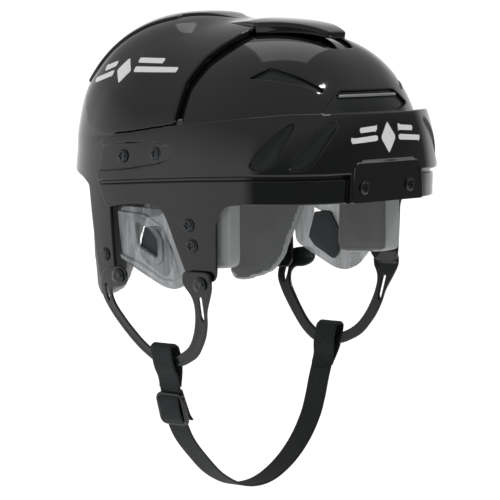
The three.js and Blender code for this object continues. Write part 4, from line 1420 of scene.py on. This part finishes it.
def eye_line(side):
    """Up the inner side of a loop's strand, over it and down its outer side; both layers meet below."""
    angles = [math.pi - k * math.pi / 8 for k in range(1, 8)]
    top = [(EYE_HALF * math.cos(a), EYE_TOP + EYE_HALF * math.sin(a)) for a in angles]
    strap = np.array(STRAP_LINE)
    half = strap[strap[:, 0] < 0] if side < 0 else strap[strap[:, 0] > 0][::-1]
    out = []
    for offset, z in EYE_INSIDE + top + EYE_OUTSIDE:
        low = np.interp(-z, -half[:, 1], half[:, 0])
        high = side * loop_centre(min(z, -100))
        share = float(smoothstep(-136, -124, np.array(z)))
        out.append((low + (high - low) * share + side * offset, z))
    return out


THREAD_BASE = [(-1, -0.28, -0.2), (1, -0.28, -0.2), (1, 0.28, -0.2), (-1, 0.28, -0.2)]
THREAD_TOP = [(-0.6, -0.16, 0.22), (0.6, -0.16, 0.22), (0.6, 0.16, 0.22), (-0.6, 0.16, 0.22)]
THREAD_HALF = 0.75
BOX_FACES = ((0, 3, 2, 1), (4, 5, 6, 7), (0, 1, 5, 4), (1, 2, 6, 5), (2, 3, 7, 6), (3, 0, 4, 7))


def stitches(name, line, way, rows, body):
    """Short raised thread stitches on both faces of sewn webbing: rows are [point of the line, share of the
    half width]."""
    vertices, faces = [], []
    normal = np.stack([-way[:, 1], way[:, 0]], 1)
    for index, a in rows:
        for face in (1, -1):
            out = normal[index] * face * (STRAP_THICKNESS / 2 + 0.12)
            along = way[index] * THREAD_HALF
            start = len(vertices)
            for u, w, h in THREAD_BASE + THREAD_TOP:
                x, z = line[index] + along * u + out + normal[index] * face * h
                vertices.append((x, STRAP_Y + a * STRAP_WIDTH / 2 + w, z))
            faces.extend(tuple(start + v for v in q) for q in BOX_FACES)
    piece = add_mesh(name, vertices, faces, smooth=False)
    dress(piece, "webbing", THREAD)
    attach(piece, body)


def build_chin_strap():
    for side, hand in HANDS:
        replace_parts(web(f"strap_fold_{hand}", eye_line(side)), "chin_strap")
    middle = [q for q in STRAP_LINE if q[1] < -130.5]
    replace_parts(web("chin_strap_web", middle), "chin_strap")
    line, way = curve_through(middle)
    rows = [(len(line) - 1 - back, a) for back in (6, 10) for a in np.linspace(-0.78, 0.78, 9)]
    stitches("strap_stitches", line, way, rows, "chin")


def rounded_bar(path, radius_across, radius_out, normal, section=12):
    """A bar of rounded section along a closed path in 3-D; normal is the thickness direction."""
    path = np.array(path, float)
    count = len(path)
    vertices, faces = [], []
    for i in range(count):
        way = path[(i + 1) % count] - path[i - 1]
        way /= np.linalg.norm(way)
        side = np.cross(way, normal)
        side /= np.linalg.norm(side)
        for k in range(section):
            a = 2 * math.pi * k / section
            c, s = math.cos(a), math.sin(a)
            c = math.copysign(abs(c) ** 0.6, c)
            s = math.copysign(abs(s) ** 0.6, s)
            vertices.append(path[i] + side * c * radius_across + normal * s * radius_out)
    for i in range(count):
        j = (i + 1) % count
        for k in range(section):
            m = (k + 1) % section
            faces.append((i * section + k, j * section + k, j * section + m, i * section + m))
    return vertices, faces


SLIDE_TILT = math.radians(-17.6)
SLIDE_CENTRE = np.array([-83.4, STRAP_Y, -149.0])
SLIDE_UP = np.array([math.sin(SLIDE_TILT), 0, math.cos(SLIDE_TILT)])
SLIDE_OUT = np.array([-math.cos(SLIDE_TILT), 0, math.sin(SLIDE_TILT)])
SLIDE_HALF_WIDTH, SLIDE_HALF_HEIGHT = 11.3, 11.2
BAR_HALF_LENGTH, BAR_LIFT, BAR_ROWS, BAR_SECTION = 10.4, 2.3, 11, 10
# the webbing's second run over the slide and its free tail behind it,
# as [lift, height] from the slide's middle
COVER_RUN = [(-1.2, 12.6), (0.6, 11.6), (2.6, 10.0), (3.9, 7.4), (4.5, 3.6),
             (4.7, 0.0), (4.5, -3.6), (3.9, -7.2), (2.7, -9.4), (1.2, -10.6)]
TAIL_RUN = [(-1.9, 13.5), (-2.6, 8.0), (-3.6, 0.0), (-4.6, -7.0), (-6.6, -11.5)]


def slide_run(run):
    points = [SLIDE_CENTRE + SLIDE_UP * height + SLIDE_OUT * lift for lift, height in run]
    return [(q[0], q[2]) for q in points]


def build_slide_buckle():
    """A slide with a curved frame and a middle bar, tilted along the strap, with the webbing round it."""
    across = np.array([0, 1.0, 0])
    w, h = SLIDE_HALF_WIDTH, SLIDE_HALF_HEIGHT
    outline = rounded([(-w, -h), (w, -h), (w, h), (-w, h)], 4.0, 6)
    path = [SLIDE_CENTRE + across * a + SLIDE_UP * b + SLIDE_OUT * (3.0 - 0.012 * b * b) for a, b in outline]
    vertices, faces = rounded_bar(path, 1.25, 1.7, SLIDE_OUT)
    base = len(vertices)
    for i in range(BAR_ROWS):
        a = -BAR_HALF_LENGTH + 2 * BAR_HALF_LENGTH * i / (BAR_ROWS - 1)
        for k in range(BAR_SECTION):
            angle = 2 * math.pi * k / BAR_SECTION
            vertices.append(SLIDE_CENTRE + across * a + SLIDE_UP * (1.5 * math.cos(angle))
                            + SLIDE_OUT * (BAR_LIFT + 0.9 * math.sin(angle)))
    faces += tube_faces(BAR_ROWS, BAR_SECTION, base=base)
    faces.append(tuple(base + k for k in range(BAR_SECTION))[::-1])
    faces.append(tuple(base + (BAR_ROWS - 1) * BAR_SECTION + k for k in range(BAR_SECTION)))
    buckle = add_mesh("slide_buckle_frame", vertices, faces)
    buckle.data.set_sharp_from_angle(angle=math.radians(50))
    dress(buckle, "black_plastic", PLASTIC)
    stand_for(buckle, "chin", "slide_buckle")
    web("strap_over_slide", slide_run(COVER_RUN), width=STRAP_WIDTH - 0.8)
    web("strap_tail", slide_run(TAIL_RUN), width=STRAP_WIDTH - 0.4, thick=1.6)


# ------------------------------------------------------------------ printed marks
MARK_LOW, MARK_HIGH, MARK_RIM = 0.02, 0.16, 0.05


def build_mark(name, outlines, face, lift, body, side=1, from_front=False):
    """White print that follows a shell's face: one thin closed piece per mark, made of plain shapes."""
    shapes = [rounded(outline, 0.8, 3) for outline in outlines]

    def flat(p):
        q = p + surface_normal(p) * lift
        a = q[:, 0] if from_front else q[:, 1]
        best = np.maximum.reduce([outline_distance(shape, a, q[:, 2]) for shape in shapes])
        return np.minimum(best, -80 - q[:, 1] if from_front else q[:, 0] - 5)

    mark = build_sheet(name, FINE_GRID, flat, [], lambda p: face(p, MARK_HIGH), lambda p: face(p, MARK_LOW),
                       MARK_RIM, mirror=side)
    dress(mark, "gloss_black", WHITE)
    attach(mark, body)


SIDE_MARK = [
    [(45, 79.5), (53, 88.5), (45, 97.5), (37, 88.5)],
    [(56, 95), (69, 90.5), (68, 86.8), (56, 91.2)],
    [(56, 88.6), (77, 81.6), (76, 78.2), (56, 84.6)],
    [(34, 97.8), (10, 97.6), (10, 94.0), (34, 94.2)],
    [(34, 91.6), (-6, 91.6), (-6, 88.0), (34, 87.6)],
]
FRONT_MARK = [
    [(0, 32.5), (8.5, 43.5), (0, 54.5), (-8.5, 43.5)],
    *[[(side * x, z) for x, z in bar] for side in (1, -1) for bar in (
        [(12, 52.0), (30, 50.8), (30, 47.2), (12, 48.2)],
        [(12, 45.4), (39, 43.6), (39, 40.0), (12, 41.4)])],
]


def build_marks():
    for side, hand in HANDS:
        build_mark(f"side_mark_{hand}", SIDE_MARK, rear_outer, 0.0, "rear", side)
    build_mark("front_mark", FRONT_MARK, front_outer, BAND_OUT, "front", from_front=True)


build_front_shell()
build_rear_shell()
for side, hand in HANDS:
    build_ear_guard(side, hand)
    build_ear_loop(side, hand)
build_hardware()
build_pads()
build_chin_strap()
build_slide_buckle()
build_marks()


# ------------------------------------------------------------------ room and lights
FLOOR_HEIGHT = -0.28
FLOOR_RADIUS = 1.1
FLOOR_GLOW = 0.5
HORIZON_LIGHT = 0.16, 1.15       # the world's strength ahead of the helmet and behind it
OVERHEAD_LIGHT = 0.55
BACKDROP_LIGHT = 1.15            # what the camera sees behind the object, in every view


def make_world():
    world = bpy.data.worlds.new("studio")
    bpy.context.scene.world = world
    world.use_nodes = True
    tree = world.node_tree
    background = tree.nodes["Background"]
    coordinates = tree.nodes.new("ShaderNodeTexCoord")
    separate = tree.nodes.new("ShaderNodeSeparateXYZ")
    tree.links.new(coordinates.outputs["Generated"], separate.inputs[0])
    low = remap(tree, separate.outputs[1], *HORIZON_LIGHT, -0.28, -0.06)
    above = remap(tree, separate.outputs[2], 0.0, 1.0, 0.12, 0.42)
    fade = combine(tree, "MULTIPLY", low, combine(tree, "SUBTRACT", 1.0, above))
    strength = combine(tree, "ADD", fade, combine(tree, "MULTIPLY", above, OVERHEAD_LIGHT))
    seen = tree.nodes.new("ShaderNodeLightPath").outputs["Is Camera Ray"]
    shown = combine(tree, "MAXIMUM", strength, combine(tree, "MULTIPLY", seen, BACKDROP_LIGHT))
    tree.links.new(shown, background.inputs["Strength"])
    background.inputs["Color"].default_value = (1, 1, 1, 1)


def make_floor():
    bpy.ops.mesh.primitive_circle_add(vertices=96, radius=FLOOR_RADIUS, fill_type="NGON",
                                      location=(0, 0, FLOOR_HEIGHT))
    floor = bpy.context.object
    floor.name = "floor"
    material, tree, shader, co = node_material("pale_floor")
    colour = mix_colour(tree, noise(tree, co, 2, 3), (0.86, 0.86, 0.86), (0.90, 0.90, 0.90))
    tree.links.new(colour, shader.inputs["Base Color"])
    shader.inputs["Roughness"].default_value = 0.95
    shader.inputs["Specular IOR Level"].default_value = 0.1
    shader.inputs["Emission Color"].default_value = (1, 1, 1, 1)
    shader.inputs["Emission Strength"].default_value = FLOOR_GLOW
    floor.data.materials.append(material)


def area_light(name, place, width, height, power):
    data = bpy.data.lights.new(name, "AREA")
    data.shape = "RECTANGLE"
    data.size = width
    data.size_y = height
    data.energy = power
    light = bpy.data.objects.new(name, data)
    light.location = place
    light.rotation_euler = (-Vector(place)).to_track_quat("-Z", "Y").to_euler()
    bpy.context.scene.collection.objects.link(light)


def make_room():
    bpy.context.scene.view_settings.view_transform = "Standard"
    make_world()
    make_floor()
    area_light("top_softbox", (0.9, 0.6, 2.4), 1.6, 1.6, 7)
    area_light("front_key", (0.6, -1.7, 1.87), 0.34, 0.14, 9)


make_room()
